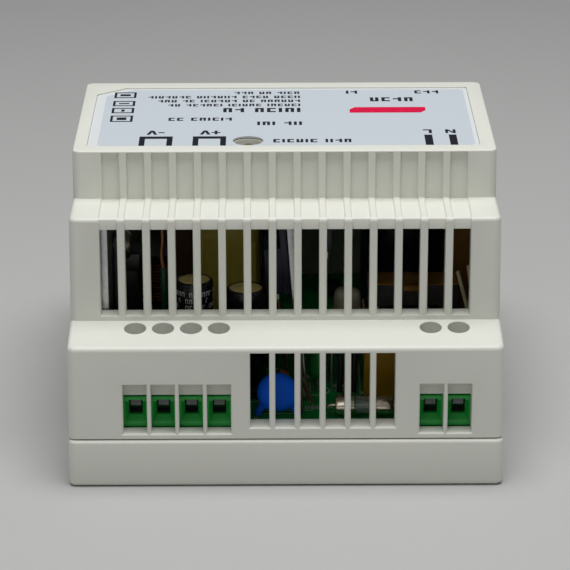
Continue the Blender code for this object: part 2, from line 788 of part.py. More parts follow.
def coated_disc(name, x, y, z, radius, thickness, recipe, lead_gap=2.5):
    """Radial disc part: a coated disc that faces the terminals, on two leads."""
    bm = bmesh.new()
    half = thickness / 2
    profile = [
        (radius * 0.86, y - half),
        (radius, y - half * 0.4),
        (radius, y + half * 0.4),
        (radius * 0.86, y + half),
    ]
    add_lathe(bm, profile, (x, z), 28, "Y")
    item = build(name, bm, recipe)

    def legs(bm):
        for side in (-1, 1):
            centre = x + side * lead_gap / 2
            add_box(bm, (centre - 0.35, y - 0.35, ON_BOARD), (centre + 0.35, y + 0.35, z))

    join(item, legs)
    return item


def can_capacitor(name, x, y, radius, top):
    """Electrolytic capacitor: sleeved can with a rolled groove near the board."""
    bm = bmesh.new()
    profile = [
        (radius - 0.4, ON_BOARD),
        (radius, ON_BOARD + 0.4),
        (radius, ON_BOARD + 2.0),
        (radius - 0.35, ON_BOARD + 2.5),
        (radius, ON_BOARD + 3.0),
        (radius, top - 0.5),
        (radius - 0.5, top),
    ]
    add_lathe(bm, profile, (x, y), 32)
    return build(name, bm, SLEEVE)


def power_package(name, sink_face, side, y, z):
    """Three-lead power package, its tab flat against a heat sink that stands in the YZ plane."""
    tab = sink_face + side * GAP
    bm = bmesh.new()
    x0, x1 = sorted((tab, tab + side * 1.3))
    add_box(bm, (x0, y - 5.0, z), (x1, y + 5.0, z + 15.5))
    item = build(name, bm, BLACK_PLASTIC, at=(sink_face, y, ON_BOARD))
    x0, x1 = sorted((tab + side * 0.4, tab + side * 4.4))

    def moulding(bm):
        add_box(bm, (x0, y - 4.9, z - 0.05), (x1, y + 4.9, z + 9.0))

    def legs(bm):
        middle = tab + side * 2.5
        for offset in (-2.54, 0.0, 2.54):
            low = (middle - 0.3, y + offset - 0.4, ON_BOARD + 0.3)
            add_box(bm, low, (middle + 0.3, y + offset + 0.4, z + 1.0))

    join(item, moulding)
    join(item, legs)
    cut(item, lambda bm: add_cylinder(bm, (y, z + 12.5), 1.8, tab - 3.0, tab + 3.0, 20, "X"))
    return item


def heat_sink(name, x0, x1, y0, y1, top, hole):
    """Upright aluminium plate that stands on the board, with the hole of its fixing screw."""
    bm = bmesh.new()
    add_box(bm, (x0, y0, ON_BOARD), (x1, y1, top))
    item = build(name, bm, ALUMINIUM, at=(x0, hole[0], ON_BOARD))
    cut(item, lambda bm: add_cylinder(bm, hole, 1.8, x0 - 2.0, x1 + 2.0, 20, "X"))
    return item


def sink_screw(name, x0, x1, at, pivot):
    """Pan-head screw through a power package and its heat sink; x0 is its head side."""
    out = math.copysign(1.0, x0 - x1)
    bm = bmesh.new()
    profile = [(2.2, x0 + out * 1.6), (2.7, x0 + out * 1.0), (2.7, x0), (1.45, x0), (1.45, x1)]
    add_lathe(bm, profile, at, 20, "X")
    y, z = at
    item = build(name, bm, NICKEL, at=(pivot, y, ON_BOARD))
    s0, s1 = sorted((x0 + out * 2.5, x0 + out * 0.8))
    cut(item, lambda bm: add_box(bm, (s0, y - 2.0, z - 0.3), (s1, y + 2.0, z + 0.3)))
    return item


def lean(item, degrees):
    """Lean a finished piece towards -X about its origin at the foot of the heat sink."""
    item.rotation_euler.y = -math.radians(degrees)


def transformer():
    """E-core transformer: ferrite ring with a middle leg, taped winding and the bobbin's foot."""
    left, right, front, back = -20.6, -1.0, -5.0, 5.0
    bottom, top = 12.3, 41.5
    leg, yoke, middle_leg = 3.2, 4.0, 6.0
    centre = (left + right) / 2
    bm = bmesh.new()
    add_box(bm, (left, front, bottom), (right, back, top))
    core = build("transformer_core", bm, FERRITE)

    def windows(bm):
        for side in (-1, 1):
            inner = centre + side * middle_leg / 2
            outer = (right - leg) if side > 0 else (left + leg)
            x0, x1 = sorted((inner, outer))
            add_box(bm, (x0, front - 1.0, bottom + yoke), (x1, back + 1.0, top - yoke))

    cut(core, windows)
    bm = bmesh.new()
    low = (left + leg + GAP, front - 5.5, bottom + yoke + GAP)
    add_box(bm, low, (right - leg - GAP, back + 5.5, top - yoke - GAP))
    upright = [e for e in bm.edges if abs(e.verts[0].co.z - e.verts[1].co.z) > 1.0]
    bevel(bm, upright, 2.6, 4)
    winding = build("transformer_winding", bm, YELLOW_TAPE)

    def middle(bm):
        half = middle_leg / 2 + GAP
        add_box(bm, (centre - half, front - GAP, bottom), (centre + half, back + GAP, top))

    cut(winding, middle)
    foot_low = (left + 1.0, front - 7.0, ON_BOARD)
    rounded_box("transformer_foot", foot_low, (right - 1.0, back + 7.0, bottom - GAP), 0.4, BLACK_PLASTIC, 1)


def filter_choke():
    """Line filter: ferrite frame with a winding on each leg and a strip of tape over its top."""
    left, right, front, back = 15.3, 32.3, -20.0, -14.0
    bottom, top = 10.4, 29.3
    leg, yoke = 4.0, 4.2
    bm = bmesh.new()
    add_box(bm, (left, front, bottom), (right, back, top))
    core = build("choke_core", bm, FERRITE)
    centre = (left + right) / 2

    def window(bm):
        add_box(bm, (left + leg, front - 1.0, bottom + yoke), (right - leg, back + 1.0, top - yoke))

    cut(core, window)
    rows = (
        ("choke_winding_1", left, left - 0.9, centre - 0.3),
        ("choke_winding_2", right - leg, centre + 0.3, right + 0.9),
    )
    for name, leg_x, x0, x1 in rows:
        bm = bmesh.new()
        add_box(bm, (x0, front - 1.0, bottom + yoke + GAP), (x1, back + 1.0, top - yoke - GAP))
        upright = [e for e in bm.edges if abs(e.verts[0].co.z - e.verts[1].co.z) > 1.0]
        bevel(bm, upright, 1.6, 3)
        item = build(name, bm, COPPER)

        def leg_hole(bm):
            low = (leg_x - GAP, front - GAP, bottom)
            add_box(bm, low, (leg_x + leg + GAP, back + GAP, top))

        cut(item, leg_hole)
    bm = bmesh.new()
    add_box(bm, (left, front - 0.4, top + 0.1), (right, back, top + 0.4))
    tape = build("choke_tape", bm, AMBER_RESIN)
    join(tape, lambda bm: add_box(bm, (21.9, front - 0.4, top - 2.0), (24.9, front - 0.15, top + 0.3)))


def insulation_sheet():
    """Folded amber film between the line filter, the bulk capacitor and the side of the case."""
    outline = [(31.4, -9.8), (35.9, -9.8), (35.9, 14.0), (35.5, 14.0), (35.5, -9.4), (31.4, -9.4)]
    bm = bmesh.new()
    add_prism(bm, outline, "Z", ON_BOARD, 43.0)
    build("insulation_sheet", bm, AMBER_RESIN)


def varistor():
    """Blue coated disc that faces the terminals, on two coated legs that spread out."""
    x, y, z, radius = -1.45, -37.0, 14.9, 3.8
    item = coated_disc("varistor", x, y, z, radius, 2.6, BLUE_RESIN)

    def coated_legs(bm):
        for side in (-1, 1):
            outline = [(3.3, z - 1.2), (2.2, z - 2.6), (3.3, ON_BOARD), (4.7, ON_BOARD), (4.5, z - 3.1)]
            points = [(x + side * a, b) for a, b in outline]
            add_prism(bm, points, "Y", y - 0.75, y + 0.75)

    join(item, coated_legs)


def thermistor():
    """Grey-beige coated block with a rounded top, high up on two legs."""
    bm = bmesh.new()
    add_box(bm, (8.85, -28.6, 20.0), (13.75, -25.2, 31.3))
    bevel(bm, list(bm.edges), 1.5, 3)
    item = build("thermistor", bm, GREY_RESIN)

    def legs(bm):
        for x in (10.0, 12.6):
            add_box(bm, (x - 0.35, -27.25, ON_BOARD), (x + 0.35, -26.55, 22.0))

    join(item, legs)


def snubber_resistor():
    """Green coated resistor that stands on one of its leads, with the other lead bent down beside it."""
    x, y, radius = 6.0, -24.0, 1.7
    bm = bmesh.new()
    profile = [(radius - 0.4, 12.6), (radius, 13.2), (radius, 22.8), (radius - 0.4, 23.4)]
    add_lathe(bm, profile, (x, y), 20)
    item = build("snubber_resistor", bm, GREEN_RESIN)
    outline = [
        (x - 0.3, 23.0), (x + 0.3, 23.0), (x + 0.3, 24.0), (x + 2.3, 24.0),
        (x + 2.3, ON_BOARD), (x + 2.9, ON_BOARD), (x + 2.9, 24.6), (x - 0.3, 24.6),
    ]
    join(item, lambda bm: add_prism(bm, outline, "Y", y - 0.3, y + 0.3))
    join(item, lambda bm: add_box(bm, (x - 0.3, y - 0.3, ON_BOARD), (x + 0.3, y + 0.3, 13.0)))


def bridge_rectifier():
    """Flat rectifier on four legs, edge on to the slots."""
    x0, x1, y0, y1 = 6.6, 8.7, -20.0, -5.6
    bottom = 35.6
    bm = bmesh.new()
    add_box(bm, (x0, y0, bottom), (x1, y1, 43.0))
    bevel(bm, list(bm.edges), 0.3, 1)
    item = build("bridge_rectifier", bm, BLACK_PLASTIC)
    middle = (x0 + x1) / 2

    def legs(bm):
        for y in (-18.5, -14.7, -10.9, -7.1):
            add_box(bm, (middle - 0.35, y - 0.45, ON_BOARD), (middle + 0.35, y + 0.45, bottom + 1.5))

    join(item, legs)


def status_light():
    """Round light in the tube of the front panel, on leads bent back over the transformer."""
    x, y = LIGHT_AT
    base = LIGHT_BASE
    bm = bmesh.new()
    profile = [(1.9, base), (1.9, base + 0.9), (1.5, base + 0.9), (1.5, base + 3.6)]
    for k in range(1, 5):
        angle = math.pi / 2 * k / 5
        profile.append((1.5 * math.cos(angle), base + 3.6 + 1.5 * math.sin(angle)))
    add_lathe(bm, profile, (x, y), 24)
    item = build("status_light", bm, GREEN_LENS)

    def leads(bm):
        run, back = LIGHT_LEAD_RUN
        half = 0.25
        outline = [
            (y - half, base + 0.4),
            (y - half, run - half),
            (back - half, run - half),
            (back - half, ON_BOARD),
            (back + half, ON_BOARD),
            (back + half, run + half),
            (y + half, run + half),
            (y + half, base + 0.4),
        ]
        for side in (-1, 1):
            centre = x + side * 1.27
            add_prism(bm, outline, "X", centre - half, centre + half)

    join(item, leads)
    return item


def small_package(name, centre, size, lead_rows, recipe):
    """Moulded chip with short leads along its two long sides."""
    x, y = centre
    wide, deep, high = size
    bm = bmesh.new()
    low = (x - wide / 2, y - deep / 2, ON_BOARD + 0.5)
    add_box(bm, low, (x + wide / 2, y + deep / 2, ON_BOARD + 0.5 + high))
    item = build(name, bm, recipe)

    def leads(bm):
        for side in (-1, 1):
            for i in range(lead_rows):
                spot = y + (i - (lead_rows - 1) / 2) * deep / lead_rows
                x0, x1 = sorted((x + side * (wide / 2 - 0.4), x + side * (wide / 2 + 0.7)))
                add_box(bm, (x0, spot - 0.25, ON_BOARD), (x1, spot + 0.25, ON_BOARD + 0.9))

    join(item, leads)
    return item


def electronics():
    main_board()
    fuse()
    varistor()
    thermistor()
    snubber_resistor()
    coated_disc("y_capacitor", -1.0, 30.0, 14.4, 3.6, 3.0, BLUE_RESIN, 4.0)
    rounded_box("x_capacitor", (14.4, -28.5, ON_BOARD), (32.4, -21.4, 23.0), 0.4, AMBER_RESIN, 1)
    can_capacitor("output_capacitor_1", -16.6, -25.0, 3.5, 32.4)
    can_capacitor("output_capacitor_2", -7.2, -25.2, 3.6, 30.8)
    can_capacitor("bulk_capacitor", 22.6, 2.0, 8.0, 41.5)
    heat_sink("secondary_heat_sink", -33.4, -31.9, -30.5, 14.0, 44.2, (-12.0, 34.5))
    power_package("output_rectifier", -31.9, 1, -12.0, 22.0)
    sink_screw("sink_screw_2", -30.0, -35.2, (-12.0, 34.5), -31.9)
    foot = 2.75
    leaning = (
        heat_sink("primary_heat_sink", foot, foot + 1.3, -28.0, 20.0, 43.5, (-15.5, 40.3)),
        power_package("switching_transistor", foot, -1, -15.5, 27.8),
        sink_screw("sink_screw_1", foot - 1.9, foot + 3.2, (-15.5, 40.3), foot),
    )
    for item in leaning:
        lean(item, 4.3)
    transformer()
    filter_choke()
    insulation_sheet()
    bridge_rectifier()
    output_inductor()
    small_package("optocoupler", (-8.0, 24.0), (4.6, 6.6, 3.4), 2, BLACK_PLASTIC)
    small_package("controller_chip", (9.5, 28.0), (4.0, 5.0, 1.5), 4, BLACK_PLASTIC)
    status_light()


def output_inductor():
    """Drum core whose flanges hold the winding."""
    profile = [(5.6, ON_BOARD), (5.6, 11.6), (4.6, 11.8), (4.6, 20.2), (5.6, 20.4), (5.6, 22.0)]
    bm = bmesh.new()
    add_lathe(bm, profile, (-25.0, 22.0), 32)
    build("output_inductor", bm, FERRITE)


def terminals():
    terminal_block("output_terminal_block", OUTPUT_TERMINALS)
    terminal_block("input_terminal_block", INPUT_TERMINALS)
    for number, x in enumerate(OUTPUT_TERMINALS + INPUT_TERMINALS, start=1):
        terminal_screw(f"terminal_screw_{number}", x)
        clamp_cage(f"clamp_cage_{number}", x)
        current_bar(f"current_bar_{number}", x)


def main():
    clear_scene()
    top_housing()
    bottom_cover()
    front_label()
    rail_latch()
    latch_spring()
    terminals()
    electronics()


main()
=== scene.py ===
"""Looks of a DIN rail power supply: case, label, screw terminals, electronics, latch and studio."""

import math
import random

import bmesh
import bpy
from bpy.props import FloatProperty, FloatVectorProperty, IntProperty, PointerProperty
from bpy.types import Operator, Panel, PropertyGroup
from mathutils import Matrix, Vector


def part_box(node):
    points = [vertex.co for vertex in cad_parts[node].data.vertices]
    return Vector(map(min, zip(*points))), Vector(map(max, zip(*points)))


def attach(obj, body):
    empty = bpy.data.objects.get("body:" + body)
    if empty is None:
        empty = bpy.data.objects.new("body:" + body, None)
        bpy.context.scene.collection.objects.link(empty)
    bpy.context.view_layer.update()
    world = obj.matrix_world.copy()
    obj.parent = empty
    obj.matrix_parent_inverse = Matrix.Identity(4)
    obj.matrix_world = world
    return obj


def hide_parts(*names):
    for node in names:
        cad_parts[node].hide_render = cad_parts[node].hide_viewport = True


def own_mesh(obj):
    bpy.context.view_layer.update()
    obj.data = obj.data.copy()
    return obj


bl_info = {
    "name": "DIN Rail Power Supply",
    "version": (1, 0, 0),
    "blender": (4, 5, 0),
    "location": "3D View > Sidebar > Power Supply",
    "description": "Builds the finished pieces of a DIN rail power supply round its packed frame",
    "category": "Object",
}

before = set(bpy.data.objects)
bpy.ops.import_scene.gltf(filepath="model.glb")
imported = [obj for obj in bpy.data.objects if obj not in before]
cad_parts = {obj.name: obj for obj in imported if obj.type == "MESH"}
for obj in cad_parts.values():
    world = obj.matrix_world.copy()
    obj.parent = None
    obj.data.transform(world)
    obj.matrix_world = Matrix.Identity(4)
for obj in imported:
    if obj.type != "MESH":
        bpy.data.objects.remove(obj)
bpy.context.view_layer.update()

MM = 0.001


def box_mm(node):
    """Lowest and highest corner of a frame node, in millimetres about the middle of the body."""
    low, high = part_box(node)
    shift = Vector((0.0, BODY_Y, 0.0))
    return Vector(low) / MM - shift, Vector(high) / MM - shift


_low, _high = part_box("bottom_cover")
BODY_Y = (_low[1] + _high[1]) / 2 / MM


# ---------------------------------------------------------------- settings


def length(name, description, default):
    """A size that a user can change, in metres."""
    return FloatProperty(
        name=name, description=description, default=default, min=0.0, precision=5, unit="LENGTH"
    )


def colour(name, description, default):
    return FloatVectorProperty(
        name=name, description=description, default=default, size=3, min=0.0, max=1.0, subtype="COLOR"
    )


def power(name, description, default):
    return FloatProperty(name=name, description=description, default=default, min=0.0, unit="POWER")


class CaseSettings(PropertyGroup):
    """Sizes and colours of the two halves of the case."""

    corner_radius: length("Corner radius", "Rounding of the upright corners", 0.0014)
    edge_radius: length("Edge radius", "Rounding of the upper edges of the two lower tiers", 0.0007)
    nose_radius: length("Nose radius", "Rounding of the upper edges of the nose", 0.0003)
    groove_depth: length("Groove depth", "Depth of the grooves above the cooling slots", 0.0008)
    step_depth: length("Step depth", "Depth of the grooves across the step", 0.00035)
    mouth_chamfer: length("Mouth chamfer", "Chamfer round the slots, windows and holes", 0.0002)
    vent_width: length("Slot width", "Width of one cooling slot of the middle tier", 0.00317)
    vent_pitch: length("Slot pitch", "Distance between neighbouring cooling slots", 0.004507)
    vent_count: IntProperty(name="Slots", description="Cooling slots along one side", default=15, min=1)
    shell_colour: colour("Shell", "Colour of the housing plastic", (0.745, 0.752, 0.68))


class LabelSettings(PropertyGroup):
    """Colours of the front label."""

    film_colour: colour("Film", "Colour of the label film", (0.56, 0.61, 0.66))
    ink_colour: colour("Ink", "Colour of the printed marks", (0.006, 0.009, 0.015))
    accent_colour: colour("Accent", "Colour of the plain mark in the corner", (0.66, 0.0, 0.05))
    print_height: length("Print height", "Thickness of the printed ink", 0.00003)


class TerminalSettings(PropertyGroup):
    """Colours of the screw terminals."""

    block_colour: colour("Block", "Colour of the terminal mouldings", (0.01, 0.38, 0.05))
    metal_colour: colour("Metal", "Colour of the nickel plating", (0.62, 0.61, 0.58))
    thread_pitch: length("Thread pitch", "Pitch of the clamp screw's thread", 0.00045)


class ElectronicsSettings(PropertyGroup):
    """Colours of the parts on the circuit board."""

    board_colour: colour("Board", "Colour of the solder mask", (0.01, 0.38, 0.08))
    tape_colour: colour("Tape", "Colour of the transformer tape", (0.62, 0.61, 0.003))
    coating_colour: colour("Coating", "Colour of the coated disc", (0.004, 0.14, 0.9))
    amber_colour: colour("Amber", "Colour of the amber box and films", (0.5, 0.26, 0.012))
    sleeve_colour: colour("Sleeve", "Colour of the capacitor sleeves", (0.012, 0.012, 0.016))


class StageSettings(PropertyGroup):
    """Floor, light and camera."""

    floor_colour: colour("Floor", "Colour of the floor", (0.5, 0.5, 0.49))
    key_power: power("Key light", "Power of the light above", 2.6)
    fill_power: power("Fill light", "Power of the light in front", 0.6)
    world_light: FloatProperty(name="Sky", description="Strength of the even light all round", default=0.17)
    lens: FloatProperty(name="Lens", description="Focal length in millimetres, 36 mm sensor", default=173.65)


# ---------------------------------------------------------------- mesh tools


def skin(bm, rings, ends=True):
    """Faces between closed rings of points; the outer rings are filled in, or joined to each other."""
    faces = []
    if ends:
        faces += [bm.faces.new(rings[0]), bm.faces.new(list(reversed(rings[-1])))]
    for low, high in zip(rings, rings[1:] if ends else rings[1:] + rings[:1]):
        for k in range(len(low)):
            n = (k + 1) % len(low)
            faces.append(bm.faces.new((low[k], high[k], high[n], low[n])))
    bmesh.ops.recalc_face_normals(bm, faces=faces)
    return faces


def add_prism(bm, outline, axis, start, end):
    """Extrude a closed outline along an axis.  Its points are the two other coordinates in order."""
    rows = []
    for level in (start, end):
        spots = [{"X": (level, a, b), "Y": (a, level, b), "Z": (a, b, level)}[axis] for a, b in outline]
        rows.append([bm.verts.new(spot) for spot in spots])
    return skin(bm, rows)


def add_box(bm, low, high, round_off=0.0, steps=2):
    outline = [(low[0], low[1]), (high[0], low[1]), (high[0], high[1]), (low[0], high[1])]
    faces = add_prism(bm, outline, "Z", low[2], high[2])
    if round_off:
        bevel(bm, list({edge for face in faces for edge in face.edges}), round_off, steps)
        return None
    return faces


def add_lathe(bm, profile, axis_at, sides, axis="Z", ends=True, start=0.5):
    """Turn a profile of (radius, height) points round an axis through axis_at, from a share of a step."""
    rings = []
    for radius, height in profile:
        ring = []
        for k in range(sides):
            angle = 2 * math.pi * (k + start) / sides
            a = axis_at[0] + radius * math.cos(angle)
            b = axis_at[1] + radius * math.sin(angle)
            spot = {"X": (height, a, b), "Y": (a, height, b), "Z": (a, b, height)}[axis]
            ring.append(bm.verts.new(spot))
        rings.append(ring)
    return skin(bm, rings, ends)


def add_cylinder(bm, axis_at, radius, start, end, sides=32, axis="Z"):
    return add_lathe(bm, [(radius, start), (radius, end)], axis_at, sides, axis)


def add_tube(bm, points, radius, sides=8):
    """Round wire along a list of points, with flat ends."""
    points = [Vector(p) for p in points]
    rings = []
    side_axis = None
    for i, point in enumerate(points):
        ahead = points[min(i + 1, len(points) - 1)] - points[max(i - 1, 0)]
        ahead.normalize()
        if side_axis is None:
            side_axis = ahead.orthogonal().normalized()
        side_axis = (side_axis - ahead * side_axis.dot(ahead)).normalized()
        up = ahead.cross(side_axis)
        ring = []
        for k in range(sides):
            angle = 2 * math.pi * k / sides
            offset = side_axis * math.cos(angle) + up * math.sin(angle)
            ring.append(bm.verts.new(point + offset * radius))
        rings.append(ring)
    return skin(bm, rings)


def rounded_route(x0, x1, y0, y1, radius):
    """Points round a rectangle with rounded corners."""
    points = []
    left, right, front, back = x0 + radius, x1 - radius, y0 + radius, y1 - radius
    for quarter, (x, y) in enumerate(((right, back), (left, back), (left, front), (right, front))):
        for k in range(5):
            angle = math.radians(90 * quarter + 22.5 * k)
            points.append((x + radius * math.cos(angle), y + radius * math.sin(angle)))
    return points


def bent(points, radius, steps=4):
    """Route through the points with each inner corner turned into an arc-like curve."""
    points = [Vector(p) for p in points]
    route = [points[0]]
    for before, corner, after in zip(points, points[1:], points[2:]):
        start = corner + (before - corner).normalized() * radius
        end = corner + (after - corner).normalized() * radius
        for i in range(steps + 1):
            t = i / steps
            route.append(start * (1 - t) ** 2 + corner * 2 * t * (1 - t) + end * t**2)
    route.append(points[-1])
    return route


def bevel(bm, edges, width, steps):
    bmesh.ops.bevel(
        bm, geom=edges, offset=width, offset_type="OFFSET", segments=steps, profile=0.5, affect="EDGES"
    )


def upright_edges(bm):
    found = []
    for edge in bm.edges:
        run = edge.verts[1].co - edge.verts[0].co
        if abs(run.z) > 0.9 * run.length:
            found.append(edge)
    return found


def smooth(mesh, degrees=35):
    mesh.shade_smooth()
    mesh.set_sharp_from_angle(angle=math.radians(degrees))


def make(name, bm, finish, body="case", node=None, matrix=None):
    """Turn a bmesh in millimetres about the middle of the body into a piece that rides on a body."""
    move = Matrix.Translation((0.0, BODY_Y, 0.0))
    if matrix is not None:
        move = move @ matrix
    bm.transform(Matrix.Scale(MM, 4) @ move)
    mesh = bpy.data.meshes.new(name)
    bm.to_mesh(mesh)
    bm.free()
    piece = bpy.data.objects.new(name, mesh)
    bpy.context.scene.collection.objects.link(piece)
    smooth(mesh)
    if body:
        mesh.materials.append(look(finish))
        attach(piece, body)
    if node:
        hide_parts(*([node] if isinstance(node, str) else node))
    return piece


def bake(item):
    """Keep what a piece's modifiers make of it as its mesh."""
    graph = bpy.context.evaluated_depsgraph_get()
    graph.update()
    result = bpy.data.meshes.new_from_object(item.evaluated_get(graph))
    item.modifiers.clear()
    old = item.data
    item.data = result
    bpy.data.meshes.remove(old)
    result.name = item.name


def combine(item, draw, operation, matrix):
    """Cut a drawn shape out of a piece or join it to the piece."""
    bm = bmesh.new()
    draw(bm)
    if matrix is not None:
        bm.transform(matrix)
    tool = make(item.name + "_tool", bm, None, body=None)
    step = item.modifiers.new(operation.lower(), "BOOLEAN")
    step.operation = operation
    step.solver = "EXACT"
    step.object = tool
    bake(item)
    tool_mesh = tool.data
    bpy.data.objects.remove(tool, do_unlink=True)
    bpy.data.meshes.remove(tool_mesh)
    smooth(item.data)


def cut(item, *draws, matrix=None):
    for draw in draws:
        combine(item, draw, "DIFFERENCE", matrix)


def join(item, *draws):
    for draw in draws:
        combine(item, draw, "UNION", None)


def wires(name, routes, radius, finish="tinned", sides=12):
    """Round wires along their routes, as one piece."""
    bm = bmesh.new()
    for route in routes:
        add_tube(bm, route, radius, sides)
    return make(name, bm, finish)


# ---------------------------------------------------------------- finishes


def shade(rgb, factor):
    return tuple(min(1.0, channel * factor) for channel in rgb) + (1.0,)


def finish_material(
    name, rgb, roughness=0.5, metallic=0.0, mottle=0.04, mottle_scale=60.0, grain=0.08, grain_scale=4000.0,
    stretch=(1.0, 1.0, 1.0), rough_spread=0.06, **sockets
):
    """Principled finish with a mottled colour, an uneven roughness and a fine surface grain."""
    found = bpy.data.materials.get(name)
    if found:
        return found
    made = bpy.data.materials.new(name)
    made.use_nodes = True
    made.diffuse_color = (*rgb, 1.0)
    tree = made.node_tree
    shader = tree.nodes["Principled BSDF"]
    shader.inputs["Metallic"].default_value = metallic
    for socket, value in sockets.items():
        shader.inputs[socket.replace("_", " ")].default_value = value
    place = tree.nodes.new("ShaderNodeTexCoord")
    mapping = tree.nodes.new("ShaderNodeMapping")
    mapping.inputs["Scale"].default_value = stretch
    tree.links.new(place.outputs["Object"], mapping.inputs["Vector"])
    cloud = noise(tree, mapping, mottle_scale, 4.0)
    ramp = tree.nodes.new("ShaderNodeValToRGB")
    ramp.color_ramp.elements[0].position = 0.3
    ramp.color_ramp.elements[0].color = shade(rgb, 1 - mottle)
    ramp.color_ramp.elements[1].position = 0.7
    ramp.color_ramp.elements[1].color = shade(rgb, 1 + mottle)
    tree.links.new(cloud.outputs["Fac"], ramp.inputs["Fac"])
    tree.links.new(ramp.outputs["Color"], shader.inputs["Base Color"])
    spread = tree.nodes.new("ShaderNodeMapRange")
    spread.inputs["To Min"].default_value = max(0.02, roughness - rough_spread)
    spread.inputs["To Max"].default_value = min(1.0, roughness + rough_spread)
    tree.links.new(cloud.outputs["Fac"], spread.inputs["Value"])
    tree.links.new(spread.outputs["Result"], shader.inputs["Roughness"])
    fine = noise(tree, mapping, grain_scale, 3.0)
    bump = tree.nodes.new("ShaderNodeBump")
    bump.inputs["Strength"].default_value = grain
    bump.inputs["Distance"].default_value = 0.0001
    tree.links.new(fine.outputs["Fac"], bump.inputs["Height"])
    tree.links.new(bump.outputs["Normal"], shader.inputs["Normal"])
    return made


def noise(tree, mapping, scale, detail):
    node = tree.nodes.new("ShaderNodeTexNoise")
    node.inputs["Scale"].default_value = scale
    node.inputs["Detail"].default_value = detail
    tree.links.new(mapping.outputs["Vector"], node.inputs["Vector"])
    return node


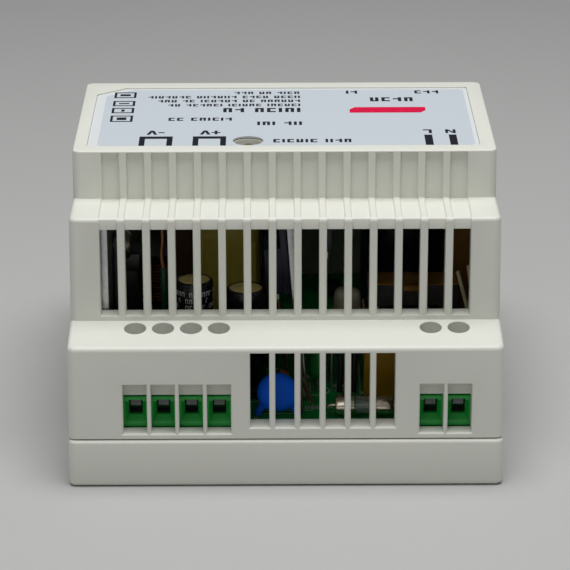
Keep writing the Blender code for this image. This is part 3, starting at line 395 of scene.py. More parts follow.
# Each finish: name, record slot, colour or its setting, roughness, metal, mottle, its scale, grain, extras.
FINISHES = {
    "shell": (
        "shell_plastic", "housing", "supply_case.shell_colour", 0.42, 0.0, 0.012, 25, 0.12,
        {
            "grain_scale": 2600, "Specular_IOR_Level": 0.45, "Subsurface_Weight": 0.06,
            "Subsurface_Scale": 0.002,
        },
    ),
    "nickel": ("nickel_plate", "nickel", "supply_terminals.metal_colour", 0.28, 1.0, 0.08, 300, 0.1),
    "tinned": ("tinned_metal", "tin", (0.66, 0.66, 0.63), 0.34, 1.0, 0.1, 250, 0.2),
    "black_plastic": (
        "black_moulding", "black_plastic", (0.018, 0.018, 0.02), 0.42, 0.0, 0.15, 60, 0.15,
        {"grain_scale": 3000},
    ),
    "aluminium": (
        "brushed_aluminium", "heat_sink", (0.66, 0.67, 0.68), 0.38, 1.0, 0.12, 900, 0.5,
        {"stretch": (1.0, 0.06, 1.0), "grain_scale": 5000},
    ),
    "ferrite": ("dull_ferrite", "ferrite", (0.035, 0.035, 0.037), 0.55, 0.0, 0.25, 500, 0.5),
    "amber": (
        "amber_case", "amber_resin", "supply_electronics.amber_colour", 0.4, 0.0, 0.12, 120, 0.1,
        {"Specular_IOR_Level": 0.2},
    ),
    "amber_film": (
        "amber_film", "amber_resin", (0.27, 0.125, 0.022), 0.25, 0.0, 0.22, 160, 0.35,
        {"grain_scale": 500, "Coat_Weight": 0.35},
    ),
    "blue_coating": (
        "blue_coating", "blue_resin", "supply_electronics.coating_colour", 0.42, 0.0, 0.1, 250, 0.25,
        {"grain_scale": 900, "Specular_IOR_Level": 0.12},
    ),
    "white_ink": ("white_ink", "board", (0.7, 0.72, 0.7), 0.5, 0.0, 0.08, 800, 0.05),
    "label_film": (
        "label_film", "label", "supply_label.film_colour", 0.5, 0.0, 0.035, 2600, 0.15,
        {"grain_scale": 1800},
    ),
    "border_film": (
        "border_film", "label", (0.70, 0.73, 0.73), 0.5, 0.0, 0.03, 2600, 0.15,
        {"grain_scale": 1800},
    ),
    "ink": (
        "label_ink", "label", "supply_label.ink_colour", 0.6, 0.0, 0.12, 700, 0.08,
        {"Specular_IOR_Level": 0.2},
    ),
    "accent": (
        "accent_ink", "label", "supply_label.accent_colour", 0.6, 0.0, 0.12, 700, 0.08,
        {"Specular_IOR_Level": 0.2},
    ),
    "terminal": (
        "terminal_plastic", "terminal_green", "supply_terminals.block_colour", 0.36, 0.0, 0.06, 150, 0.12,
        {"grain_scale": 2500},
    ),
    "solder_mask": (
        "solder_mask", "board", "supply_electronics.board_colour", 0.5, 0.0, 0.22, 170, 0.25,
        {"grain_scale": 700, "Specular_IOR_Level": 0.1},
    ),
    "winding_tape": (
        "winding_tape", "winding_tape", "supply_electronics.tape_colour", 0.3, 0.0, 0.12, 110, 0.3,
        {"stretch": (1.0, 1.0, 2.5), "grain_scale": 600, "Coat_Weight": 0.25},
    ),
    "sleeve": (
        "sleeve_film", "capacitor_sleeve", "supply_electronics.sleeve_colour", 0.22, 0.0, 0.2, 200, 0.15,
        {"grain_scale": 900},
    ),
    "glass": (
        "clear_glass", "fuse_glass", (0.9, 0.95, 0.95), 0.05, 0.0, 0.02, 200, 0.02,
        {"rough_spread": 0.02, "Transmission_Weight": 0.9, "IOR": 1.5},
    ),
    "lens": (
        "lens_resin", "light_lens", (0.20, 0.14, 0.06), 0.2, 0.0, 0.08, 300, 0.05,
        {"Transmission_Weight": 0.12, "IOR": 1.5},
    ),
    "can_top": ("can_top", "nickel", (0.85, 0.68, 0.26), 0.4, 0.0, 0.1, 300, 0.25),
    "copper": ("enamelled_copper", "winding_wire", (0.42, 0.13, 0.03), 0.25, 0.6, 0.15, 400, 0.15),
    "bare_copper": ("bare_copper", "winding_wire", (0.34, 0.15, 0.06), 0.4, 0.8, 0.15, 400, 0.15),
    "brown_tape": ("brown_tape", "winding_tape", (0.10, 0.045, 0.012), 0.4, 0.0, 0.2, 200, 0.25),
    "blue_black": ("blue_black_moulding", "black_plastic", (0.028, 0.031, 0.06), 0.35, 0.0, 0.12, 300, 0.25),
    "beige": ("beige_coating", "grey_resin", (0.20, 0.19, 0.135), 0.5, 0.0, 0.12, 250, 0.35),
    "green_coat": ("green_coating", "green_resin", (0.01, 0.22, 0.035), 0.16, 0.0, 0.12, 250, 0.15),
    "orange": ("orange_ceramic", "amber_resin", (0.28, 0.10, 0.02), 0.35, 0.0, 0.15, 300, 0.3),
    "steel": ("spring_steel", "spring", (0.42, 0.42, 0.43), 0.28, 1.0, 0.1, 600, 0.15),
    "pale_wire": ("pale_wire", "winding_wire", (0.62, 0.56, 0.33), 0.4, 0.0, 0.12, 400, 0.15),
    "grey_sleeve": ("grey_sleeve", "winding_wire", (0.13, 0.14, 0.12), 0.5, 0.0, 0.15, 400, 0.2),
    "dark_green": ("dark_green_sleeve", "winding_wire", (0.004, 0.06, 0.025), 0.4, 0.0, 0.12, 250, 0.15),
    "cap_metal": ("cap_metal", "nickel", (0.78, 0.69, 0.54), 0.15, 1.0, 0.12, 400, 0.2),
    # Nickel of the wire cages and contact bars, darkened with painted shade for their place deep in the wire
    # mouths; the output diode's tab shares it.
    "dull_metal": ("dull_metal", "tin", (0.15, 0.155, 0.16), 0.5, 0.5, 0.15, 400, 0.3),
    "solder": ("solder", "tin", (0.58, 0.58, 0.57), 0.3, 1.0, 0.12, 700, 0.4),
    "floor": ("floor_paper", None, "supply_stage.floor_colour", 0.75, 0.0, 0.01, 6, 0.05),
}


def look(key):
    """Material of a finish, made the first time it is asked for."""
    name, _, rgb, roughness, metal, mottle, scale, grain, *rest = FINISHES[key]
    if isinstance(rgb, str):
        group, prop = rgb.split(".")
        rgb = tuple(getattr(getattr(bpy.context.scene, group), prop))
    extra = rest[0] if rest else {}
    return finish_material(name, rgb, roughness, metal, mottle, scale, grain, **extra)


# ---------------------------------------------------------------- case

CORNER_STEPS = 8
EDGE_STEPS = 4
SIDE_AT_BASE = 39.0
SIDE_DRAFT = 0.0098
COVER_HALF = 45.0
COVER_TOP = 8.7
SHELL_BOTTOM = 9.0
LOWER_FOOT = 44.32
LOWER_EDGE = (44.08, 26.21)
SHOULDER_TOP = (34.39, 27.82)
MID_EDGE = (34.13, 47.06)
NOSE_FOOT = 22.58
NOSE_EDGE = (22.45, 56.0)
TIER_INSET = 0.04
CAVITY_SIDE = 36.4
CAVITY_LOWER = (40.4, 24.2)
CAVITY_MID = (31.0, 44.8)
CAVITY_NOSE = (20.0, 53.4)
VENT_SILL = 28.65
VENT_HEAD = 44.75
GROOVE_TOP = 55.7
LOWER_VENT_COUNT = 6
LOWER_VENT_FIRST = -4.635
LOWER_VENT_PITCH = 4.481
LOWER_VENT_WIDTH = 3.42
LOWER_VENT_Z = (11.1, 25.2)
LABEL_RECESS = ((-35.95, -19.25), (35.55, 18.75))
LABEL_CORNER = (5.4, 4.4)
LABEL_FLOOR = 55.3
LIGHT_AT = (-6.65, -15.6)
LIGHT_HOLE = 2.6
LIGHT_TUBE_RADIUS = 3.9
LIGHT_TUBE_BOTTOM = 48.0
LIGHT_LEAD_RUN = (46.0, 14.0)
OUTPUT_TERMINALS = (-26.9, -21.9, -16.9, -11.9)
INPUT_TERMINALS = (26.0, 31.0)
TERMINAL_PITCH = 5.0
TERMINAL_Y = -37.1
WINDOW_WIDTH = 4.3
WINDOW_Z = (9.95, 19.3)
WINDOW_DEPTH_Y = -40.9
BLOCK_FRONT = -41.0
BLOCK_STEP = -39.9
BLOCK_BACK = -32.8
BLOCK_LIP = 15.8
BLOCK_TOP = 22.4
PIN_HALF = 1.23
PIN_Y = (-34.7, -33.3)
SCREW_HOLE = 2.0
RAIL_SEAT_Z = 5.0
RAIL_HALF = 17.5
SEAT_PAD_HALF = 15.0
SEAT_PAD_HEIGHT = 0.3
HOOK_TIP_Y = -15.8
HOOK_TOP = 3.6
LATCH_HALF = 5.6
LATCH_FLANGE_HALF = 7.4
LATCH_Z = (0.5, 3.6)
LATCH_FLANGE_Z = 2.2
POST_Y = (36.6, 38.3)
SNAP_PLACES = (-24.0, 24.0)
SNAP_HALF = 3.0
SNAP_Z = (12.0, 13.2)
BOARD_TOP = 9.8
ON_BOARD = 10.1
GAP = 0.3
SINK_FOOT = 2.75
SINK_LEAN = 4.3
SWITCH_SCREW_AT = (-15.5, 40.3)
OUTPUT_SCREW_AT = (-12.0, 34.5)
SINK_HOLE = 1.8
BRIDGE_BOTTOM = 35.6
BRIDGE_PINS_Y = (-18.5, -14.7, -10.9, -7.1)
INRUSH_LEGS_X = (10.0, 12.6)
TRANSFORMER_PINS_X = (-17.5, -13.5, -9.5, -5.5)
LIGHT_HEIGHT = 5.08
FUSE_CAP_RADIUS = 1.85
FUSE_CAP_LENGTH = 3.4


def side_at(height):
    """Half width of the case, which narrows towards the front panel."""
    return SIDE_AT_BASE - SIDE_DRAFT * height


def both_sides(half_outline):
    return list(half_outline) + [(-y, z) for y, z in reversed(half_outline)]


def add_tier(bm, outline, inset, corner, edge, foot_radius=0.0):
    """A drafted block of the case with rounded corners and a rounded upper rim."""
    rows = []
    for side in (-1, 1):
        rows.append([bm.verts.new((side * (side_at(z) - inset), y, z)) for y, z in outline])
    skin(bm, rows)
    foot = min(z for _, z in outline)
    bevel(bm, upright_edges(bm), corner, CORNER_STEPS)
    bm.normal_update()
    rim = []
    feet = []
    for item in bm.edges:
        ups = [face.normal.z for face in item.link_faces]
        if max(ups) > 0.9 and min(ups) < 0.5:
            rim.append(item)
        if min(ups) < -0.9 and max(v.co.z for v in item.verts) < foot + 0.01:
            feet.append(item)
    bevel(bm, rim, edge, EDGE_STEPS)
    if foot_radius:
        bevel(bm, [item for item in feet if item.is_valid], foot_radius, EDGE_STEPS)


def vent_columns():
    case = bpy.context.scene.supply_case
    pitch = case.vent_pitch / MM
    first = -pitch * (case.vent_count - 1) / 2
    return [first + pitch * i for i in range(case.vent_count)]


def lower_vent_columns():
    return [LOWER_VENT_FIRST + LOWER_VENT_PITCH * i for i in range(LOWER_VENT_COUNT)]


def groove_outline(side, depth, step_depth):
    """One groove and the slot below it, as a (y, z) outline on the chosen side of the case."""
    step = MID_EDGE[1] - step_depth
    front = MID_EDGE[0] - depth
    points = [
        (NOSE_FOOT + 3.0, GROOVE_TOP),
        (NOSE_FOOT - depth - 0.1, GROOVE_TOP),
        (NOSE_FOOT - depth, step),
        (front - 0.3, step),
        (front - 0.09, step - 0.09),
        (front, step - 0.3),
        (front, VENT_HEAD),
        (CAVITY_MID[0] - 1.0, VENT_HEAD),
        (CAVITY_MID[0] - 1.0, VENT_SILL),
        (SHOULDER_TOP[0] + 3.0, VENT_SILL),
        (SHOULDER_TOP[0] + 3.0, MID_EDGE[1] + 3.0),
        (NOSE_FOOT + 3.0, MID_EDGE[1] + 3.0),
    ]
    return [(side * y, z) for y, z in points]


def label_outline(grow):
    """Label recess seen from above, with the corner at low x and high y cut off."""
    (x0, y0), (x1, y1) = LABEL_RECESS
    x0, y0, x1, y1 = x0 - grow, y0 - grow, x1 + grow, y1 + grow
    return [(x0, y0), (x1, y0), (x1, y1), (x0 + LABEL_CORNER[0], y1), (x0, y1 - LABEL_CORNER[1])]


def block_ends(terminals):
    return terminals[0] - TERMINAL_PITCH / 2, terminals[-1] + TERMINAL_PITCH / 2


def add_flare(bm, low, high, face_y, size, side):
    """A shallow wedge that chamfers the mouth of a rectangular opening in a wall facing side * Y."""
    rows = []
    for y, grow in ((face_y + side * size, 2 * size), (face_y - side * size, 0.0)):
        corners = bar(low[0] - grow, high[0] + grow, low[1] - grow, high[1] + grow)
        rows.append([bm.verts.new((x, y, z)) for x, z in corners])
    skin(bm, rows)


def wall_y(z):
    """Half depth of the lower tier's sloping wall at a height."""
    share = (z - SHELL_BOTTOM) / (LOWER_EDGE[1] - SHELL_BOTTOM)
    return LOWER_FOOT + (LOWER_EDGE[0] - LOWER_FOOT) * share


def shell():
    """Stepped shell with cooling slots, terminal windows, screw holes and the label's seat."""
    case = bpy.context.scene.supply_case
    corner, edge = case.corner_radius / MM, case.edge_radius / MM
    depth, step_depth = case.groove_depth / MM, case.step_depth / MM
    chamfer = case.mouth_chamfer / MM
    half = case.vent_width / MM / 2
    bm = bmesh.new()
    lower = [(LOWER_FOOT, SHELL_BOTTOM), LOWER_EDGE, SHOULDER_TOP]
    add_tier(bm, both_sides(lower), 0.0, corner, edge)
    item = make("upper_shell", bm, "shell", node="top_housing")
    mid = [(SHOULDER_TOP[0] + 0.05, SHOULDER_TOP[1] - 4.0), MID_EDGE]
    nose = [(NOSE_FOOT + 0.05, MID_EDGE[1] - 4.0), NOSE_EDGE]
    join(item, lambda bm: add_tier(bm, both_sides(mid), TIER_INSET, corner, edge))
    join(item, lambda bm: add_tier(bm, both_sides(nose), 2 * TIER_INSET, corner, case.nose_radius / MM))

    def cavity(bm):
        outline = [
            (CAVITY_LOWER[0], SHELL_BOTTOM - 1.0), CAVITY_LOWER, (CAVITY_MID[0], CAVITY_LOWER[1]),
            CAVITY_MID, (CAVITY_NOSE[0], CAVITY_MID[1]), CAVITY_NOSE,
        ]
        add_prism(bm, both_sides(outline), "X", -CAVITY_SIDE, CAVITY_SIDE)

    def chimneys(bm):
        for terminals in (OUTPUT_TERMINALS, INPUT_TERMINALS):
            left, right = block_ends(terminals)
            low = (left - 0.5, -CAVITY_LOWER[0] - 0.5, BLOCK_TOP + GAP)
            add_box(bm, low, (right + 0.5, BLOCK_BACK + 0.2, CAVITY_LOWER[1] + 0.8))

    def light_tube(bm):
        add_cylinder(bm, LIGHT_AT, LIGHT_TUBE_RADIUS, LIGHT_TUBE_BOTTOM, CAVITY_NOSE[1] + 0.8, 40)

    def grooves(bm):
        for side in (-1, 1):
            for x in vent_columns():
                add_prism(bm, groove_outline(side, depth, step_depth), "X", x - half, x + half)

    def groove_edges():
        """Side of the case, x and outward direction of both edges of each groove."""
        for side in (-1, 1):
            for x in vent_columns():
                for out in (-1, 1):
                    yield side, x + out * half, out

    def wedge(edge_x, out, face, up, reach):
        """Outline that takes the chamfer off an edge at edge_x of a face whose outside is towards up."""
        return [
            (edge_x - out * 0.3, face + up * reach), (edge_x + out * (chamfer + reach), face + up * reach),
            (edge_x, face - up * chamfer), (edge_x - out * 0.3, face - up * chamfer),
        ]

    def groove_chamfers(bm):
        for side, edge_x, out in groove_edges():
            mid_face, nose_face = side * (MID_EDGE[0] + 0.12), side * (NOSE_FOOT + 0.02)
            add_prism(bm, wedge(edge_x, out, mid_face, side, 0.4), "Z", VENT_SILL, MID_EDGE[1] - 0.9)
            add_prism(bm, wedge(edge_x, out, nose_face, side, 0.4), "Z", MID_EDGE[1], GROOVE_TOP)

    def step_chamfers(bm):
        for side, edge_x, out in groove_edges():
            y0, y1 = sorted((side * (NOSE_FOOT + 0.1), side * (MID_EDGE[0] - 0.6)))
            add_prism(bm, wedge(edge_x, out, MID_EDGE[1], 1, 0.3), "Y", y0, y1)

    def mouths():
        """Middle, half width and heights of each lower slot and wire window."""
        return [(x, LOWER_VENT_WIDTH / 2, LOWER_VENT_Z) for x in lower_vent_columns()] + [
            (x, WINDOW_WIDTH / 2, WINDOW_Z) for x in OUTPUT_TERMINALS + INPUT_TERMINALS
        ]

    def openings(bm):
        for x, reach, (low_z, high_z) in mouths():
            back = WINDOW_DEPTH_Y if reach == WINDOW_WIDTH / 2 else 1.0 - CAVITY_LOWER[0]
            add_box(bm, (x - reach, -LOWER_FOOT - 2.0, low_z), (x + reach, back, high_z))

    def flares(bm):
        for x, reach, (low_z, high_z) in mouths():
            face = -wall_y((low_z + high_z) / 2)
            add_flare(bm, (x - reach, low_z), (x + reach, high_z), face, chamfer, -1)

    def block_pockets(bm):
        for terminals in (OUTPUT_TERMINALS, INPUT_TERMINALS):
            left, right = block_ends(terminals)
            low = (left - GAP, BLOCK_FRONT - GAP, SHELL_BOTTOM - 1.0)
            add_box(bm, low, (right + GAP, -CAVITY_LOWER[0] + 0.5, BLOCK_LIP + GAP))

    def bores(bm):
        for x in OUTPUT_TERMINALS + INPUT_TERMINALS:
            add_cylinder(bm, (x, TERMINAL_Y), SCREW_HOLE, BLOCK_TOP - 1.0, SHOULDER_TOP[1] + 3.0, 48)

    def light_bore(bm):
        profile = [(LIGHT_HOLE, 45.0), (LIGHT_HOLE, LABEL_FLOOR - 0.25), (LIGHT_HOLE + 0.4, 58.0)]
        add_lathe(bm, profile, LIGHT_AT, 40)

    def label_seat(bm):
        add_prism(bm, label_outline(0.0), "Z", LABEL_FLOOR, NOSE_EDGE[1] + 1.0)

    def snap_seats(bm):
        for side in (-1, 1):
            for y in SNAP_PLACES:
                x0, x1 = sorted((side * (CAVITY_SIDE - 0.5), side * (CAVITY_SIDE + 0.8)))
                low = (x0, y - SNAP_HALF - GAP, SNAP_Z[0] - GAP)
                add_box(bm, low, (x1, y + SNAP_HALF + GAP, SNAP_Z[1] + GAP))

    cut(item, cavity)
    join(item, chimneys, light_tube)
    cut(item, grooves, openings, groove_chamfers, step_chamfers, flares)
    cut(item, block_pockets, bores, light_bore, label_seat, snap_seats)


def cover():
    """Rail-side cover: tray, rail seat with its fixed hook, latch guide, posts and snap tongues."""
    case = bpy.context.scene.supply_case
    bm = bmesh.new()
    outline = both_sides([(COVER_HALF, 0.0), (COVER_HALF, COVER_TOP)])
    add_tier(bm, outline, 0.0, case.corner_radius / MM, 0.5, 0.9)
    item = make("lower_cover", bm, "shell", node="bottom_cover")
    wall = 2.2
    floor = RAIL_SEAT_Z + 1.6
    side = SIDE_AT_BASE - wall
    end = COVER_HALF - wall
    foot = 24.5

    def tray(bm):
        add_box(bm, (-side, -end, floor), (side, end, COVER_TOP + 1.0))

    def foot_pockets(bm):
        add_box(bm, (-side, -end, 1.8), (side, -foot, floor + 0.5))
        add_box(bm, (-side, foot, 1.8), (-LATCH_FLANGE_HALF - 2.0, end, floor + 0.5))
        add_box(bm, (LATCH_FLANGE_HALF + 2.0, foot, 1.8), (side, end, floor + 0.5))

    def rail_seat(bm):
        catch = RAIL_HALF + 0.5
        roof = RAIL_SEAT_Z + SEAT_PAD_HEIGHT
        outline = [
            (HOOK_TIP_Y, -1.0), (HOOK_TIP_Y, HOOK_TOP), (-catch, HOOK_TOP), (-catch, roof),
            (-SEAT_PAD_HALF, roof), (-SEAT_PAD_HALF, RAIL_SEAT_Z), (SEAT_PAD_HALF, RAIL_SEAT_Z),
            (SEAT_PAD_HALF, roof), (catch, roof), (catch, -1.0),
        ]
        add_prism(bm, outline, "X", -SIDE_AT_BASE - 2.0, SIDE_AT_BASE + 2.0)

    def latch_guide(bm):
        narrow, wide = LATCH_HALF + GAP, LATCH_FLANGE_HALF + GAP
        split, top = LATCH_FLANGE_Z - GAP, LATCH_Z[1] + GAP
        outline = [
            (-narrow, -1.0), (narrow, -1.0), (narrow, split), (wide, split),
            (wide, top), (-wide, top), (-wide, split), (-narrow, split),
        ]
        add_prism(bm, outline, "Y", RAIL_HALF, COVER_HALF + 2.0)

    def coring_slots(bm):
        """Shallow coring slots either side of the rail seat, which keep the moulding's walls even."""
        for x in (-30.0, -20.0, -10.0, 10.0, 20.0, 30.0):
            add_box(bm, (x - 3.2, -COVER_HALF + 5.0, -1.0), (x + 3.2, -foot - 2.0, 0.9))

    def spring_post(bm):
        add_box(bm, (-1.5, POST_Y[0], 0.9), (1.5, POST_Y[1], LATCH_Z[1] + GAP + 0.6))

    def board_posts(bm):
        for x in (-28.0, 28.0):
            for y in (-20.0, 0.0, 20.0):
                add_cylinder(bm, (x, y), 2.5, floor - 0.5, 7.9, 24)

    def snap_tongues(bm):
        for sign in (-1, 1):
            outer = CAVITY_SIDE - GAP
            catch, tip = SNAP_Z[0], SNAP_Z[1] + 0.8
            outline = [
                (outer - 1.0, floor - 0.5), (outer, floor - 0.5), (outer, catch), (outer + 0.6, catch),
                (outer + 0.6, catch + 0.4), (outer - 0.2, tip), (outer - 1.0, tip),
            ]
            points = [(sign * x, z) for x, z in outline]
            for y in SNAP_PLACES:
                add_prism(bm, points, "Y", y - SNAP_HALF, y + SNAP_HALF)

    cut(item, tray, foot_pockets, rail_seat, latch_guide, coring_slots)
    join(item, spring_post, board_posts, snap_tongues)


# ---------------------------------------------------------------- label

FIELD_LOW = 55.8
FIELD_HEIGHT = 0.02
INK_LOW = FIELD_LOW + FIELD_HEIGHT
MARK_SHIFT = (-0.18, -0.85)


def bar(x0, x1, y0, y1):
    return [(x0, y0), (x1, y0), (x1, y1), (x0, y1)]


def bracket(x0, x1, y0, y1, leg, back):
    """A three-sided mark that opens towards low y."""
    return [
        (x0, y0), (x0 + leg, y0), (x0 + leg, y1 - back), (x1 - leg, y1 - back),
        (x1 - leg, y0), (x1, y0), (x1, y1), (x0, y1),
    ]


def ring(x0, x1, y0, y1, line):
    """Outlines of a square frame, as four bars that meet at its corners."""
    return [
        bar(x0, x1, y0, y0 + line), bar(x0, x1, y1 - line, y1),
        bar(x0, x0 + line, y0 + line, y1 - line), bar(x1 - line, x1, y0 + line, y1 - line),
    ]


def mark(kind, w, h, t):
    """Outline of a terminal mark, w wide and h high, drawn with strokes of width t."""
    if kind == "L":
        return [(0, 0), (w, 0), (w, t), (t, t), (t, h), (0, h)]
    if kind == "N":
        d = 1.7 * t
        return [
            (0, 0), (t, 0), (t, h - d), (w - t, 0), (w, 0), (w, h), (w - t, h), (w - t, d), (t, h), (0, h),
        ]
    if kind == "V":
        return [
            (w / 2 - 0.6 * t, 0), (w / 2 + 0.6 * t, 0), (w, h), (w - 1.1 * t, h),
            (w / 2, 1.7 * t), (1.1 * t, h), (0, h),
        ]
    middle, across = h / 2, w / 2
    if kind == "-":
        return bar(0, w, middle - t / 2, middle + t / 2)
    a, b, c, d = across - t / 2, across + t / 2, middle - t / 2, middle + t / 2
    return [(a, 0), (b, 0), (b, c), (w, c), (w, d), (b, d), (b, h), (a, h), (a, d), (0, d), (0, c), (a, c)]


def turned(outline, x_start, y_foot):
    """The panel reads from the latch side, so marks run towards low x and stand up towards low y."""
    return [(x_start - u, y_foot - v) for u, v in outline]


def filler_line(rng, x0, x1, y, height):
    """A row of small strokes that stands for a line of small print and spells nothing."""
    shapes = []
    x = x1
    wide = 0.62 * height
    stroke = 0.24 * height
    while x - wide > x0:
        for _ in range(rng.randint(2, 8)):
            if x - wide < x0:
                break
            kind = rng.randint(0, 4)
            top, foot = y - height / 2, y + height / 2
            if kind == 0:
                shapes.append(bar(x - stroke, x, top, foot))
                x -= stroke + 0.2 * height
                continue
            if kind == 1:
                shapes.append(bracket(x - wide, x, top, foot, stroke, stroke))
            elif kind == 2:
                flip = bracket(x - wide, x, top, foot, stroke, stroke)
                shapes.append([(u, 2 * y - v) for u, v in reversed(flip)])
            elif kind == 3:
                shapes.append(bar(x - stroke, x, top, foot))
                shapes.append(bar(x - wide, x - stroke, y, y + stroke))
            else:
                shapes.append([
                    (x - wide, top), (x, top), (x, top + stroke), (x - wide + stroke, top + stroke),
                    (x - wide + stroke, foot - stroke), (x, foot - stroke), (x, foot), (x - wide, foot),
                ])
            x -= wide + 0.22 * height
        x -= 0.55 * height
    return shapes


def print_piece(name, shapes, finish):
    height = bpy.context.scene.supply_label.print_height / MM
    bm = bmesh.new()
    for outline in shapes:
        moved = [(x + MARK_SHIFT[0], y + MARK_SHIFT[1]) for x, y in outline]
        add_prism(bm, moved, "Z", INK_LOW, INK_LOW + height)
    return make(name, bm, finish)


def field_outline():
    """Edge of the blue field, which leaves a pale border that is widest at low x."""
    (x0, y0), (x1, y1) = LABEL_RECESS
    x0, y0, x1, y1 = x0 + 1.85, y0 + 0.7, x1 - 0.8, y1 - 0.9
    return [(x0, y0), (x1, y0), (x1, y1), (x0 + LABEL_CORNER[0] - 0.6, y1), (x0, y1 - LABEL_CORNER[1] + 0.4)]


def label():
    """Label film in its seat, with terminal marks and filler print on it."""
    low, high = box_mm("front_label")
    bm = bmesh.new()
    add_prism(bm, label_outline(-0.06), "Z", low.z, high.z)
    bevel(bm, upright_edges(bm), 0.5, 3)
    item = make("front_film", bm, "border_film", node="front_label")
    cut(item, lambda bm: add_cylinder(bm, LIGHT_AT, LIGHT_HOLE + 0.2, low.z - 1.0, high.z + 1.0, 40))
    bm = bmesh.new()
    add_prism(bm, field_outline(), "Z", FIELD_LOW, FIELD_LOW + FIELD_HEIGHT)
    bevel(bm, upright_edges(bm), 0.8, 4)
    field = make("blue_field", bm, "label_film")
    cut(field, lambda bm: add_cylinder(bm, LIGHT_AT, LIGHT_HOLE + 0.25, low.z - 1.0, high.z + 1.0, 40))
    shapes = [
        bracket(-26.4, -20.3, -18.0, -12.1, 1.05, 1.4),
        bracket(-16.6, -10.5, -18.0, -12.1, 1.05, 1.4),
        bar(25.9, 27.35, -18.0, -11.5),
        bar(30.4, 31.8, -18.0, -11.5),
        turned(mark("L", 1.6, 2.3, 0.55), 27.4, -8.2),
        turned(mark("N", 1.9, 2.3, 0.5), 31.8, -8.2),
        turned(mark("-", 1.1, 2.3, 0.5), -21.9, -8.5),
        turned(mark("V", 2.0, 2.5, 0.55), -23.2, -8.4),
        turned(mark("+", 1.6, 2.3, 0.5), -11.6, -8.5),
        turned(mark("V", 2.0, 2.5, 0.55), -13.4, -8.4),
    ]
    print_piece("terminal_marks", shapes, "ink")
    rng = random.Random(7)
    rows = (
        (-2.8, 12.4, -14.95, 2.0), (-5.8, 3.5, -3.9, 2.2), (-23.9, -9.6, -1.1, 1.9),
        (-11.8, 3.3, 4.8, 2.7), (-22.7, 3.3, 8.2, 1.55), (-25.9, 3.3, 11.0, 1.55),
        (-26.0, 3.3, 13.7, 1.55), (-9.8, 3.2, 16.5, 1.55), (10.75, 14.4, 16.8, 2.0),
        (23.9, 30.1, 16.8, 2.0), (13.5, 24.9, 11.8, 2.6),
    )
    filler = []
    for x0, x1, y, height in rows:
        filler += filler_line(rng, x0, x1, y, height)
    print_piece("small_print", filler, "ink")
    icons = []
    for y0, y1 in ((13.3, 17.1), (7.8, 11.2), (3.1, 6.5), (-2.6, 1.4)):
        icons += ring(-32.4, -28.2, y0, y1, 0.45)
    icons += [bar(-31.3, -29.3, 14.6, 15.8), bar(-31.3, -29.3, 9.2, 9.8), bar(-30.6, -30.0, 4.1, 5.5)]
    icons.append(bar(-31.2, -29.4, -1.4, 0.2))
    print_piece("plain_icons", icons, "ink")
    accent = [(12.6, 2.9), (26.0, 2.9), (27.0, 4.4), (27.0, 6.5), (13.6, 6.5), (12.6, 5.0)]
    print_piece("corner_accent", [accent], "accent")


# ---------------------------------------------------------------- rail latch


def latch():
    """Sliding latch: sloped nose, guide flanges, spring window, grip ribs and a slotted pull tab."""
    low, high = box_mm("rail_latch")
    bottom, top = low.z, high.z
    nose, end = low.y, high.y
    bm = bmesh.new()
    outline = [
        (nose, top), (nose, top - 0.8), (nose + 2.2, bottom), (end - 0.35, bottom), (end, bottom + 0.35),
        (end, top - 0.35), (end - 0.35, top),
    ]
    add_prism(bm, outline, "X", -LATCH_HALF, LATCH_HALF)
    item = make("latch_slider", bm, "black_plastic", "latch", node="rail_latch")

    def flanges(bm):
        for side in (-1, 1):
            x0, x1 = sorted((side * (LATCH_HALF - 1.0), side * LATCH_FLANGE_HALF))
            add_box(bm, (x0, RAIL_HALF + 2.0, LATCH_FLANGE_Z), (x1, COVER_HALF - 4.5, top - 0.02))

    def holes(bm):
        add_box(bm, (-1.9, 24.0, bottom - 1.0), (1.9, 38.6, top + 1.0))
        add_box(bm, (-2.6, end - 2.3, bottom - 1.0), (2.6, end - 1.1, top + 1.0))

    def finger_grooves(bm):
        for y in (40.2, 41.4, 42.6):
            add_box(bm, (-4.2, y, bottom - 1.0), (4.2, y + 0.55, bottom + 0.35))

    join(item, flanges)
    cut(item, holes, finger_grooves)
    soften(item, 0.12, 2, 1.2, shortest=1e-3, merge=False)


def spring():
    """Compression spring with closed ends, between the fixed post and the latch's window."""
    low, high = box_mm("latch_spring")
    wire = 0.22
    radius = (high.x - low.x) / 2 - wire
    centre = (low.z + high.z) / 2
    turns, per_turn = 8, 32
    steps = turns * per_turn
    run = high.y - low.y - 2 * wire
    points = []
    for i in range(steps + 1):
        turn = 2 * math.pi * i / per_turn
        share = i / steps
        eased = share + 0.035 * math.sin(4 * math.pi * share) / 2
        points.append((radius * math.cos(turn), low.y + wire + run * eased, centre + radius * math.sin(turn)))
    bm = bmesh.new()
    add_tube(bm, points, wire, 10)
    item = make("return_spring", bm, "steel", node="latch_spring")
    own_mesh(item)


# ---------------------------------------------------------------- screw terminals


def soften(item, width, steps=2, angle=1.0, shortest=0.0, merge=True):
    """Round the sharp edges of a finished piece."""
    bm = bmesh.new()
    bm.from_mesh(item.data)
    if merge:
        bmesh.ops.dissolve_limit(bm, angle_limit=math.radians(1.0), verts=bm.verts, edges=bm.edges)
    sharp = [e for e in bm.edges if len(e.link_faces) == 2 and e.calc_face_angle() > angle]
    sharp = [e for e in sharp if e.calc_length() >= shortest]
    bmesh.ops.bevel(
        bm, geom=sharp, offset=width * MM, offset_type="OFFSET", segments=steps, profile=0.5, affect="EDGES",
        clamp_overlap=True,
    )
    bm.to_mesh(item.data)
    bm.free()
    smooth(item.data)


